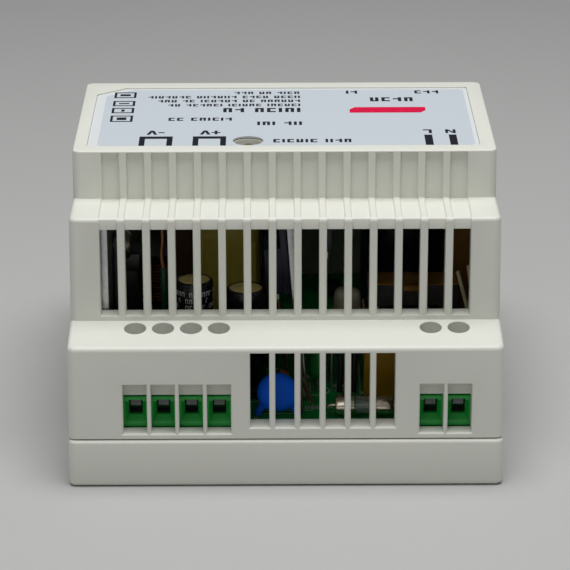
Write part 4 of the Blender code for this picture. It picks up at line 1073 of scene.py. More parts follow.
def terminal_block(name, node, terminals):
    """Moulded block: one cell for each terminal, with a funnel to its wire mouth and its screw well."""
    left, right = block_ends(terminals)
    low, high = box_mm(node)
    outline = [
        (BLOCK_FRONT, low.z), (BLOCK_FRONT, BLOCK_LIP - 0.15), (BLOCK_FRONT + 0.15, BLOCK_LIP),
        (BLOCK_STEP, BLOCK_LIP), (BLOCK_STEP, high.z), (BLOCK_BACK, high.z), (BLOCK_BACK, low.z),
    ]
    bm = bmesh.new()
    add_prism(bm, outline, "X", left, right)
    item = make(name, bm, "terminal", node=node)
    well_top, mouth = 19.4, (1.23, 11.95, 15.2)

    def cage_well(bm, x):
        add_box(bm, (x - 2.05, TERMINAL_Y - 1.9, 10.6), (x + 2.05, TERMINAL_Y + 1.9, well_top))

    def wire_mouth(bm, x):
        add_box(bm, (x - mouth[0], BLOCK_FRONT - 0.5, mouth[1]), (x + mouth[0], TERMINAL_Y - 1.6, mouth[2]))

    def funnel(bm, x):
        wide = mouth[0] + 0.02
        low_end = (x - wide, BLOCK_FRONT - 0.3, mouth[1] - 0.02)
        faces = add_box(bm, low_end, (x + wide, BLOCK_FRONT + 1.2, mouth[2] - 0.3))
        for vertex in {v for face in faces for v in face.verts if v.co.y < BLOCK_FRONT}:
            vertex.co.x += math.copysign(0.8, vertex.co.x - x)
            if vertex.co.z < mouth[1]:
                vertex.co.z -= 1.5

    def cell_line(bm, x):
        if x == terminals[-1]:
            return
        x0, x1 = x + TERMINAL_PITCH / 2 - 0.12, x + TERMINAL_PITCH / 2 + 0.12
        add_box(bm, (x0, BLOCK_FRONT - 1.0, low.z - 1.0), (x1, BLOCK_FRONT + 0.2, high.z + 1.0))
        add_box(bm, (x0, BLOCK_FRONT - 1.0, high.z - 0.2), (x1, BLOCK_BACK + 1.0, high.z + 1.0))

    def bar_slot(bm, x):
        add_box(bm, (x - PIN_HALF, TERMINAL_Y + 1.6, 13.3), (x + PIN_HALF, PIN_Y[1], 15.2))

    def pin_slot(bm, x):
        add_box(bm, (x - PIN_HALF, PIN_Y[0], low.z - 1.0), (x + PIN_HALF, PIN_Y[1], 13.6))

    def shank_hole(bm, x):
        add_cylinder(bm, (x, TERMINAL_Y), 1.3, well_top - 0.5, high.z + 1.0, 32)

    def head_hole(bm, x):
        add_lathe(bm, [(2.0, 20.2), (2.0, high.z - 0.25), (2.4, high.z + 0.15)], (x, TERMINAL_Y), 32)

    for step in (cage_well, wire_mouth, funnel, cell_line, bar_slot, pin_slot, shank_hole, head_hole):
        cut(item, lambda bm: [step(bm, x) for x in terminals])


def clamp_screw(number, x):
    """Cheese-head screw with a slot and a rolled thread on its shank."""
    low, high = box_mm(f"terminal_screw_{number}")
    pitch = bpy.context.scene.supply_terminals.thread_pitch / MM
    head, radius, shank = 20.5, 1.7, 1.0
    profile = [(shank - 0.35, low.z)]
    z = low.z + 0.3
    while z + pitch < head - 0.4:
        profile += [(shank - 0.2, z), (shank, z + pitch * 0.4), (shank, z + pitch * 0.6)]
        z += pitch
    profile += [
        (shank - 0.2, head - 0.25), (shank - 0.2, head), (radius - 0.12, head), (radius, head + 0.12),
        (radius, high.z - 0.3), (radius - 0.09, high.z - 0.09), (radius - 0.3, high.z),
    ]
    bm = bmesh.new()
    add_lathe(bm, profile, (x, TERMINAL_Y), 40)
    item = make(f"clamp_screw_{number}", bm, "nickel", f"screw_{number}", node=f"terminal_screw_{number}")
    slot_low = (x - 2.5, TERMINAL_Y - 0.25, high.z - 0.8)
    cut(item, lambda bm: add_box(bm, slot_low, (x + 2.5, TERMINAL_Y + 0.25, high.z + 1.0)))


def wire_cage(number, x):
    """Folded cage with a tapped hole in its top and a wire window through it."""
    low, high = box_mm(f"clamp_cage_{number}")
    bm = bmesh.new()
    add_box(bm, tuple(low), tuple(high))
    bevel(bm, upright_edges(bm), 0.35, 4)
    # The cage's metal is darkened with painted shade.
    item = make(f"wire_cage_{number}", bm, "dull_metal", f"cage_{number}", f"clamp_cage_{number}")
    inner = (high.x - low.x) / 2 - 0.45

    def window(bm):
        add_box(bm, (x - inner, TERMINAL_Y - 3.0, low.z + 0.5), (x + inner, TERMINAL_Y + 3.0, high.z - 1.1))

    def fold_line(bm):
        add_box(bm, (x - 0.06, low.y - 1.0, low.z - 1.0), (x + 0.06, high.y + 1.0, low.z + 0.15))

    cut(item, window, lambda bm: add_cylinder(bm, (x, TERMINAL_Y), 1.3, 15.0, 19.0, 32), fold_line)


def contact_bar(number, x):
    """Bar over the wire with a knurled underside, bent down into its solder pin."""
    low, high = box_mm(f"current_bar_{number}")
    half = (high.x - low.x) / 2
    bottom, pin0, pin1 = 13.6, -34.4, -33.6
    outline = [
        (low.y, high.z - 0.2), (low.y + 0.2, high.z), (pin1 - 0.35, high.z), (pin1 - 0.1, high.z - 0.1),
        (pin1, high.z - 0.35), (pin1, low.z + 0.4), (pin1 - 0.25, low.z), (pin0 + 0.25, low.z),
        (pin0, low.z + 0.4), (pin0, bottom),
    ]
    y = pin0 - 1.4
    while y - 0.6 > low.y + 0.3:
        outline += [(y, bottom), (y - 0.15, bottom + 0.18), (y - 0.3, bottom)]
        y -= 0.6
    outline += [(low.y, bottom)]
    bm = bmesh.new()
    add_prism(bm, outline, "X", x - half, x + half)
    # The bar's metal is darkened with painted shade.
    make(f"contact_bar_{number}", bm, "dull_metal", node=f"current_bar_{number}")


# ---------------------------------------------------------------- electronics


def board():
    """Circuit board with pads, tracks under the mask, silkscreen outlines and solder joints."""
    low, high = box_mm("main_board")
    bm = bmesh.new()
    add_box(bm, tuple(low), tuple(high))
    bevel(bm, upright_edges(bm), 1.0, 3)
    item = make("circuit_board", bm, "solder_mask", node="main_board")
    terminals = OUTPUT_TERMINALS + INPUT_TERMINALS

    def pin_holes(bm):
        for x in terminals:
            add_box(bm, (x - PIN_HALF, PIN_Y[0], low.z - 1.0), (x + PIN_HALF, PIN_Y[1], high.z + 1.0))

    cut(item, pin_holes)
    bm = bmesh.new()
    top = high.z
    rng = random.Random(11)
    for row in range(12):
        y = -38.5 + row * 6.3
        x = -32.0 + rng.random() * 6
        while x < 30:
            wide = 3 + rng.random() * 9
            add_box(bm, (x, y, top), (min(x + wide, 33.5), y + 0.9 + rng.random(), top + 0.035))
            x += wide + 2.5
    for x in (-30.0, -12.0, 4.0, 13.0, 31.0):
        add_box(bm, (x, -38.0, top), (x + 1.3, 36.0, top + 0.03))
    make("masked_tracks", bm, "solder_mask")
    silkscreen(top)
    bm = bmesh.new()
    for x in terminals:
        add_lathe(bm, [(1.15, low.z - 0.5), (0.85, low.z - 0.25), (1.25, low.z)], (x, -34.0), 20)
    for x, y in LEAD_SPOTS:
        add_lathe(bm, [(0.4, low.z - 0.8), (0.55, low.z - 0.5), (0.95, low.z)], (x, y), 16)
    make("solder_joints", bm, "solder")


LEAD_SPOTS = (
    (-16.6, -26.2), (-16.6, -23.8), (-7.2, -26.4), (-7.2, -24.0), (20.1, 2.0), (25.1, 2.0), (6.0, -24.0),
    (8.6, -24.0), (10.0, -26.9), (12.6, -26.9), (-3.0, 30.0), (1.0, 30.0), (-18.0, -11.0), (-13.0, -11.0),
    (-8.0, -11.0), (-3.5, -11.0), (-18.0, 11.0), (-13.0, 11.0), (-8.0, 11.0), (-3.5, 11.0),
)


def silkscreen(top):
    """White outlines and reference marks printed on the board."""
    line = 0.16
    bm = bmesh.new()

    def stroke(points):
        for (x0, y0), (x1, y1) in zip(points, points[1:]):
            run = Vector((x1 - x0, y1 - y0))
            side = Vector((-run.y, run.x)).normalized() * line / 2
            corners = [(x0 + side.x, y0 + side.y), (x1 + side.x, y1 + side.y)]
            corners += [(x1 - side.x, y1 - side.y), (x0 - side.x, y0 - side.y)]
            add_prism(bm, corners, "Z", top + 0.035, top + 0.06)

    for outline in (
        (7.2, 20.6, -39.2, -34.0, 1.2), (7.4, 14.6, -32.6, -23.6, 2.4), (-5.6, 2.7, -39.2, -34.8, 1.6),
        (13.9, 32.9, -29.0, -20.9, 0.4), (-5.0, 5.0, -33.4, -29.6, 0.4), (14.0, 33.4, -20.6, -10.0, 0.5),
        (-22.0, 0.4, -13.0, 13.0, 0.5), (-11.0, -5.0, 20.0, 28.0, 0.3),
    ):
        points = rounded_route(*outline)
        stroke(points + points[:1])
    for x, y, radius in (
        (-16.6, -25.0, 4.0), (-7.2, -25.2, 4.1), (22.6, 2.0, 8.6), (-25.0, 22.0, 6.2), (6.0, -24.0, 2.2),
    ):
        turns = [math.tau * k / 32 for k in range(33)]
        stroke([(x + radius * math.cos(turn), y + radius * math.sin(turn)) for turn in turns])
    stroke([(-1.5, -33.4), (-1.5, -29.6)])
    stroke([(4.6, -30.2), (4.6, -20.0), (1.6, -20.0)])
    rng = random.Random(5)
    for x, y in ((10.4, -21.6), (17.0, -32.4), (5.0, -32.0), (-12.0, -19.5), (3.4, -17.0), (27.0, -31.5)):
        for shape in filler_line(rng, x - 1.6, x + 1.6, y, 1.3):
            add_prism(bm, shape, "Z", top + 0.035, top + 0.06)
    make("silkscreen", bm, "white_ink")


def fuse_parts():
    """Glass fuse: hollow glass tube, thin element, two drawn caps with their leads."""
    low, high = box_mm("fuse_glass")
    y, z = (low.y + high.y) / 2, (low.z + high.z) / 2
    radius = (high.z - low.z) / 2
    bm = bmesh.new()
    wall = [(radius, low.x), (radius, high.x), (radius - 0.35, high.x), (radius - 0.35, low.x)]
    add_lathe(bm, wall, (y, z), 40, "X", ends=False, start=0)
    make("fuse_tube", bm, "glass", node="fuse_glass")
    wires("fuse_element", [[(low.x - 0.5, y, z), (high.x + 0.5, y, z)]], 0.09, sides=8)
    for name, sign in (("fuse_cap_left", 1), ("fuse_cap_right", -1)):
        low, high = box_mm(name)
        inner = high.x if sign > 0 else low.x
        outer = inner - sign * FUSE_CAP_LENGTH
        cap = FUSE_CAP_RADIUS
        profile = [
            (0.5, outer), (cap - 0.35, outer), (cap - 0.1, outer + sign * 0.12), (cap, outer + sign * 0.4),
            (cap, inner - sign * 0.5), (cap - 0.08, inner - sign * 0.42), (cap - 0.08, inner - sign * 0.3),
            (cap, inner - sign * 0.2), (cap - 0.03, inner),
        ]
        if sign < 0:
            profile.reverse()
        bm = bmesh.new()
        add_lathe(bm, profile, (y, z), 40, "X")
        item = make(f"end_{name}", bm, "cap_metal", node=name)
        tip = outer - sign * 1.25
        route = bent([(outer + sign * 0.6, y, z), (tip, y, z), (tip, y, ON_BOARD)], 0.6, 5)
        join(item, lambda bm: add_tube(bm, route, 0.32, 12))


def melt(item, voxel, rounds):
    """Run the parts of a dipped piece together as its coating does."""
    remesh = item.modifiers.new("dip", "REMESH")
    remesh.mode = "VOXEL"
    remesh.voxel_size = voxel * MM
    even = item.modifiers.new("flow", "SMOOTH")
    even.iterations = rounds
    bake(item)
    smooth(item.data, 80)


def add_pebble(bm, x, y, z, radius, half_thick, sides=48, flat=0.45):
    """A disc facing Y whose faces bulge and whose rim is round."""
    profile = []
    steps = 14
    for k in range(steps + 1):
        angle = math.pi * k / steps
        across = math.sin(angle) ** flat
        profile.append((max(0.05, radius * across), y - half_thick * math.cos(angle)))
    add_lathe(bm, profile, (x, z), sides, "Y")


def dipped_disc(name, node, radius, half, spread, bare, coat):
    """Disc dipped in epoxy, whose coating runs down over the start of its legs."""
    low, high = box_mm(node)
    y = (low.y + high.y) / 2
    x, z = (low.x + high.x) / 2, high.z - radius
    bm = bmesh.new()
    add_pebble(bm, x, y, z, radius, half)
    for side in (-1, 1):
        out = side * spread
        route = [
            (x + out * 0.62, y, z - radius * 0.45), (x + out * 0.85, y, z - radius * 0.86),
            (x + out, y, ON_BOARD + bare),
        ]
        add_tube(bm, bent(route, 0.5, 4), coat, 12)
    item = make(name, bm, "blue_coating", node=node)
    melt(item, 0.2, 8)
    spots = (x - spread, x + spread)
    wires(f"{name}_leads", [[(spot, y, ON_BOARD + bare + 0.6), (spot, y, BOARD_TOP)] for spot in spots], 0.3)


def varistor_and_discs():
    """Blue varistor by the terminals, blue safety capacitor and the small orange disc."""
    dipped_disc("varistor_disc", "varistor", radius=3.8, half=1.35, spread=3.75, bare=0.35, coat=0.72)
    dipped_disc("safety_capacitor", "y_capacitor", radius=3.6, half=1.5, spread=2.0, bare=1.0, coat=0.55)
    bm = bmesh.new()
    x, y, z = -0.4, -30.6, 15.6
    add_pebble(bm, x, y, z, 1.2, 0.7, 36)
    for side in (-1, 1):
        add_tube(bm, [(x + side * 0.5, y, z - 0.6), (x + side * 1.0, y, z - 2.0)], 0.4, 10)
    item = make("orange_disc", bm, "orange")
    melt(item, 0.16, 6)
    routes = [[(spot, y, z - 1.8), (spot, y, BOARD_TOP)] for spot in (x - 1.0, x + 1.0)]
    wires("orange_disc_leads", routes, 0.24, sides=10)


def inrush_limiter():
    """Beige coated block with a domed top, high up on sleeved legs."""
    low, high = box_mm("thermistor")
    y0, y1 = low.y, high.y
    bm = bmesh.new()
    add_box(bm, (low.x, y0, 20.0), (high.x, y1, high.z), 1.55, 5)
    item = make("inrush_limiter", bm, "beige", node="thermistor")
    y = (y0 + y1) / 2
    join(item, lambda bm: [add_tube(bm, [(x, y, 21.0), (x, y, 18.8)], 0.75, 14) for x in INRUSH_LEGS_X])
    melt(item, 0.22, 5)
    routes = [bent([(x, y, 19.4), (x + 0.2, y, 15.0), (x, y, ON_BOARD + 0.8)], 1.0) for x in INRUSH_LEGS_X]
    wires("inrush_sleeves", routes, 0.55, "black_plastic")
    routes = [[(x, y, ON_BOARD + 1.0), (x, y, BOARD_TOP)] for x in INRUSH_LEGS_X]
    wires("inrush_leads", routes, 0.33, sides=10)


def snubber():
    """Glossy green resistor that stands on one lead, with the other bent down beside it."""
    low, high = box_mm("snubber_resistor")
    radius = 1.7
    x, y = low.x + radius, (low.y + high.y) / 2
    profile = [(0.5, 12.3)]
    for z, r in ((12.6, 1.2), (13.0, 1.62), (13.6, 1.7), (14.6, 1.62), (15.6, 1.52), (20.4, 1.52)):
        profile.append((r, z))
    profile += [(1.62, 21.4), (1.7, 22.4), (1.62, 23.0), (1.2, 23.4), (0.5, 23.7)]
    bm = bmesh.new()
    add_lathe(bm, profile, (x, y), 40)
    item = make("snubber_body", bm, "green_coat", node="snubber_resistor")
    smooth(item.data, 60)
    route = [(x, y, 23.2), (x, y, high.z - 0.3), (x + 2.6, y, high.z - 0.3), (x + 2.6, y, BOARD_TOP)]
    wires("snubber_leads", [bent(route, 0.8, 6), [(x, y, 12.6), (x, y, BOARD_TOP)]], 0.3)


def add_patch(bm, centre, radius, angle0, angle1, z0, z1, thick=0.03):
    """A thin curved plate on the outside of an upright cylinder; angles in degrees."""
    steps = max(2, int(abs(angle1 - angle0) / 5))
    inner, outer = radius - 0.02, radius + thick
    rings = []
    for k in range(steps + 1):
        angle = math.radians(angle0 + (angle1 - angle0) * k / steps)
        across, along = math.cos(angle), math.sin(angle)
        section = ((inner, z0), (inner, z1), (outer, z1), (outer, z0))
        rings.append([bm.verts.new((centre[0] + r * across, centre[1] + r * along, z)) for r, z in section])
    skin(bm, rings)


def can(name, node, seed, rows):
    """Electrolytic can: shrunk sleeve, rolled rim, vented top and filler print."""
    low, high = box_mm(node)
    x, y = (low.x + high.x) / 2, (low.y + high.y) / 2
    radius = (high.x - low.x) / 2
    top = high.z
    crimp = low.z + 2.5
    bm = bmesh.new()
    profile = [
        (radius - 0.55, low.z), (radius - 0.15, low.z + 0.2), (radius, low.z + 0.7), (radius, crimp - 0.7),
    ]
    for k in range(1, 8):
        angle = math.pi * k / 8
        profile.append((radius - 0.38 * math.sin(angle), crimp - 0.6 + 1.2 * k / 8))
    profile += [(radius, crimp + 0.7), (radius, top - 0.55)]
    for k in range(1, 6):
        angle = math.pi / 2 * k / 5
        profile.append((radius - 0.5 + 0.5 * math.cos(angle), top - 0.5 + 0.5 * math.sin(angle)))
    profile += [(radius - 0.6, top - 0.02), (radius - 0.65, top - 0.25)]
    add_lathe(bm, profile, (x, y), 64)
    item = make(name, bm, "sleeve", node=node)
    smooth(item.data, 50)
    bm = bmesh.new()
    reach = radius - 0.62
    profile = [(reach, top - 0.6), (reach, top - 0.12), (reach - 0.15, top - 0.06), (0.3, top - 0.06)]
    add_lathe(bm, profile, (x, y), 64)
    lid = make(f"{name}_top", bm, "can_top")
    across = reach * 0.78
    for turn in (20, 80, 140):
        along = Vector((math.cos(math.radians(turn)), math.sin(math.radians(turn))))
        side = Vector((-along.y, along.x)) * 0.09

        reach = along * across
        outline = [(x + c.x, y + c.y) for c in (reach + side, side - reach, -reach - side, reach - side)]
        cut(lid, lambda bm: add_prism(bm, outline, "Z", top - 0.3, top + 1.0))
    rng = random.Random(seed)
    bm = bmesh.new()
    for row in range(rows):
        z = top - 1.7 - row * 1.25
        for turn in range(-168, -10, 13):
            if rng.random() < 0.82:
                wide = 7 + rng.random() * 3
                add_patch(bm, (x, y), radius, turn, turn + wide, z, z + 0.16)
                add_patch(bm, (x, y), radius, turn, turn + 1.8, z - 0.7, z)
                if rng.random() < 0.6:
                    add_patch(bm, (x, y), radius, turn + wide - 2, turn + wide, z - 0.7, z)
    z = low.z + 4.0
    while z < top - 2.0:
        add_patch(bm, (x, y), radius, 62, 78, z, z + 1.0)
        z += 2.2
    make(f"{name}_print", bm, "white_ink")
    gap = 2.5 if radius > 5 else 1.2
    routes = [[(spot, y, low.z + 0.5), (spot, y, BOARD_TOP)] for spot in (x - gap, x + gap)]
    wires(f"{name}_leads", routes, 0.28, sides=10)


def capacitors():
    can("output_can_1", "output_capacitor_1", 3, 3)
    can("output_can_2", "output_capacitor_2", 4, 0)
    can("bulk_can", "bulk_capacitor", 6, 0)
    low, high = box_mm("x_capacitor")
    bm = bmesh.new()
    add_box(bm, (low.x, low.y, low.z + 0.35), tuple(high), 0.45, 3)
    item = make("film_box", bm, "amber", node="x_capacitor")

    def feet(bm):
        for x in (low.x + 1.2, high.x - 1.2):
            for y in (low.y + 1.2, high.y - 1.2):
                add_cylinder(bm, (x, y), 0.7, low.z, low.z + 1.0, 20)

    join(item, feet)


# ---------------------------------------------------------------- heat sinks and packages


def leaning():
    """The primary plate and what is screwed to it lean towards -X about the foot of the plate."""
    foot = Vector((SINK_FOOT, 0.0, ON_BOARD))
    turn = Matrix.Rotation(-math.radians(SINK_LEAN), 4, "Y")
    return Matrix.Translation(foot) @ turn @ Matrix.Translation(-foot)


def sink_plate(name, node, x0, x1, y0, y1, top, hole, matrix=None):
    """Sheet aluminium plate, brushed along its length, with a screw hole."""
    bm = bmesh.new()
    add_box(bm, (x0, y0, ON_BOARD), (x1, y1, top))
    bevel(bm, [e for e in bm.edges if e.calc_length() > 3.0], 0.12, 2)
    item = make(name, bm, "aluminium", node=node, matrix=matrix)
    cut(item, lambda bm: add_cylinder(bm, hole, SINK_HOLE, x0 - 2.0, x1 + 2.0, 32, "X"), matrix=matrix)


def package(name, node, sink_face, side, y, z, body_finish, tab_finish, matrix=None):
    """Power package: moulded body, metal tab and three stepped leads."""
    tab = sink_face + side * GAP
    bm = bmesh.new()
    x0, x1 = sorted((tab + side * 0.4, tab + side * 4.4))
    add_box(bm, (x0, y - 4.9, z), (x1, y + 4.9, z + 9.0), 0.35, 2)
    make(name, bm, body_finish, node=node, matrix=matrix)
    bm = bmesh.new()
    x0, x1 = sorted((tab, tab + side * 1.3))
    add_box(bm, (x0, y - 5.0, z), (x1, y + 5.0, z + 15.5))
    bevel(bm, [e for e in bm.edges if e.calc_length() > 3.0], 0.15, 2)
    tab_item = make(f"{name}_tab", bm, tab_finish, matrix=matrix)
    hole = (y, z + 12.5)
    cut(tab_item, lambda bm: add_cylinder(bm, hole, SINK_HOLE, tab - 3.0, tab + 3.0, 32, "X"), matrix=matrix)
    bm = bmesh.new()
    middle = tab + side * 2.5
    leads = bmesh.new()
    for offset in (-2.54, 0.0, 2.54):
        at = y + offset
        add_box(bm, (middle - 0.25, at - 0.6, z - 1.6), (middle + 0.25, at + 0.6, z + 0.5), 0.06, 1)
        add_box(leads, (middle - 0.22, at - 0.38, ON_BOARD), (middle + 0.22, at + 0.38, z - 1.5), 0.06, 1)
    make(f"{name}_shoulders", bm, "tinned", matrix=matrix)
    make(f"{name}_leads", leads, "bare_copper", matrix=matrix)


def plate_screw(name, node, x0, x1, at, matrix=None):
    """Pan-head screw with a cross recess, its head at x0."""
    out = math.copysign(1.0, x0 - x1)
    profile = [
        (0.3, x0 + out * 1.6), (1.4, x0 + out * 1.52), (2.2, x0 + out * 1.25), (2.6, x0 + out * 0.7),
        (2.7, x0 + out * 0.15), (2.6, x0), (1.45, x0), (1.45, x1 + out * 0.2), (1.2, x1),
    ]
    bm = bmesh.new()
    add_lathe(bm, profile, at, 40, "X")
    item = make(name, bm, "nickel", node=node, matrix=matrix)
    y, z = at
    s0, s1 = sorted((x0 + out * 2.5, x0 + out * 0.8))
    cut(
        item, lambda bm: add_box(bm, (s0, y - 1.5, z - 0.25), (s1, y + 1.5, z + 0.25)),
        lambda bm: add_box(bm, (s0, y - 0.25, z - 1.5), (s1, y + 0.25, z + 1.5)), matrix=matrix,
    )


def power_side():
    """Both heat sinks with their packages and screws."""
    low, high = box_mm("secondary_heat_sink")
    sink_plate("output_sink", "secondary_heat_sink", low.x, high.x, low.y, high.y, high.z, OUTPUT_SCREW_AT)
    package("output_diode", "output_rectifier", high.x, 1, -12.0, 22.0, "black_plastic", "dull_metal")
    plate_screw("output_sink_screw", "sink_screw_2", -30.0, -35.2, OUTPUT_SCREW_AT)
    foot = SINK_FOOT
    lean = leaning()
    sink_plate("switch_sink", "primary_heat_sink", foot, foot + 1.3, -28.0, 20.0, 43.5, SWITCH_SCREW_AT, lean)
    package("switch_package", "switching_transistor", foot, -1, -15.5, 27.8, "blue_black", "blue_black", lean)
    plate_screw("switch_sink_screw", "sink_screw_1", foot - 1.9, foot + 3.2, SWITCH_SCREW_AT, lean)


def rectifier():
    """Flat bridge rectifier edge on to the slots, with a chamfered corner and four pins."""
    low, high = box_mm("bridge_rectifier")
    bottom = BRIDGE_BOTTOM
    outline = [
        (low.y, bottom), (high.y, bottom), (high.y, high.z), (low.y + 2.2, high.z), (low.y, high.z - 2.2),
    ]
    bm = bmesh.new()
    add_prism(bm, outline, "X", low.x, high.x)
    bevel(bm, list(bm.edges), 0.25, 2)
    item = make("bridge_body", bm, "blue_black", node="bridge_rectifier")
    middle = (low.x + high.x) / 2
    hole = ((low.y + high.y) / 2, BRIDGE_BOTTOM + 4.0)
    cut(item, lambda bm: add_cylinder(bm, hole, 1.5, low.x - 1.0, high.x + 1.0, 32, "X"))
    bm = bmesh.new()
    legs = bmesh.new()
    for y in BRIDGE_PINS_Y:
        add_box(bm, (middle - 0.35, y - 0.6, bottom - 1.5), (middle + 0.35, y + 0.6, bottom + 0.5), 0.08, 1)
        add_box(legs, (middle - 0.25, y - 0.35, ON_BOARD), (middle + 0.25, y + 0.35, bottom - 1.4), 0.06, 1)
    make("bridge_shoulders", bm, "tinned")
    make("bridge_pins", legs, "bare_copper")


# ---------------------------------------------------------------- wound parts


def add_loops(bm, low, high, corner, wire, count):
    """Stacked turns of wire round an upright bobbin with rounded corners."""
    route = rounded_route(low[0] + wire, high[0] - wire, low[1] + wire, high[1] - wire, corner)
    pitch = (high[2] - low[2] - 2 * wire) / count
    points = []
    for turn in range(count):
        for k, (x, y) in enumerate(route):
            points.append((x, y, low[2] + wire + pitch * (turn + k / len(route))))
    add_tube(bm, points, wire, 8)


def choke():
    """Line filter: ferrite frame, black bobbin cheeks, wire windings and amber tape on top."""
    low, high = box_mm("choke_core")
    leg, yoke = 4.0, 4.2
    bm = bmesh.new()
    add_box(bm, tuple(low), tuple(high))
    item = make("choke_frame", bm, "ferrite", node="choke_core")
    window_low = (low.x + leg, low.y - 1.0, low.z + yoke)
    cut(item, lambda bm: add_box(bm, window_low, (high.x - leg, high.y + 1.0, high.z - yoke)))
    soften(item, 0.3, 3)
    for number in (1, 2):
        node = f"choke_winding_{number}"
        w_low, w_high = box_mm(node)
        bm = bmesh.new()
        add_loops(bm, tuple(w_low), tuple(w_high), 1.2, 0.34, 14)
        winding = make(f"choke_turns_{number}", bm, "copper", node=node)
        smooth(winding.data, 60)
    bm = bmesh.new()
    for z in (low.z + yoke + 0.05, high.z - yoke - 0.75):
        add_box(bm, (low.x - 0.2, low.y - 0.75, z), (high.x + 0.2, low.y - 0.1, z + 0.6), 0.12, 2)
    make("choke_cheeks", bm, "black_plastic")
    _, t_high = box_mm("choke_tape")
    bm = bmesh.new()
    add_sheet(bm, (low.x, high.x), (low.y - 0.4, high.y), t_high.z - 0.3, 0.3, 24, 10, 0.09, 13)
    tape = make("choke_tape_strip", bm, "amber_film", node="choke_tape")
    smooth(tape.data, 70)
    bm = bmesh.new()
    add_box(bm, (21.9, low.y - 0.4, high.z - 1.2), (24.9, low.y - 0.15, t_high.z - 0.1), 0.08, 2)
    make("choke_tape_flap", bm, "amber_film")
    bm = bmesh.new()
    for x in (17.0, 21.2, 26.2, 30.4):
        route = [(x, low.y - 0.55, 24.4), (x + 0.2, low.y - 0.9, 22.6), (x + 0.1, low.y - 0.6, 20.8)]
        add_tube(bm, bent(route, 0.5), 0.42, 12)
        add_lathe(bm, [(0.25, 24.2), (0.62, 24.35), (0.66, 24.7), (0.3, 25.1)], (x, low.y - 0.62), 18)
    make("choke_wire_ends", bm, "solder")


def add_sheet(bm, span_x, span_y, z, thick, columns, rows, swell, seed):
    """A lying sheet of tape, slightly wavy, with its own thickness."""
    rng = random.Random(seed)
    spans = ((0.5, 1.6), (0, 6.3), (0.5, 1.6), (0, 6.3))
    waves = [tuple(rng.uniform(*span) for span in spans) for _ in range(4)]

    def height(x, y):
        total = sum(math.sin(a * x + b) * math.sin(c * y + d) for a, b, c, d in waves)
        return swell * total / 4

    rings = []
    for i in range(columns + 1):
        x = span_x[0] + (span_x[1] - span_x[0]) * i / columns
        row = [span_y[0] + (span_y[1] - span_y[0]) * j / rows for j in range(rows + 1)]
        under = [(x, y, z - 0.1 + height(x, y)) for y in row]
        over = [(x, y, level + thick) for x, y, level in reversed(under)]
        rings.append([bm.verts.new(spot) for spot in under + over])
    skin(bm, rings)


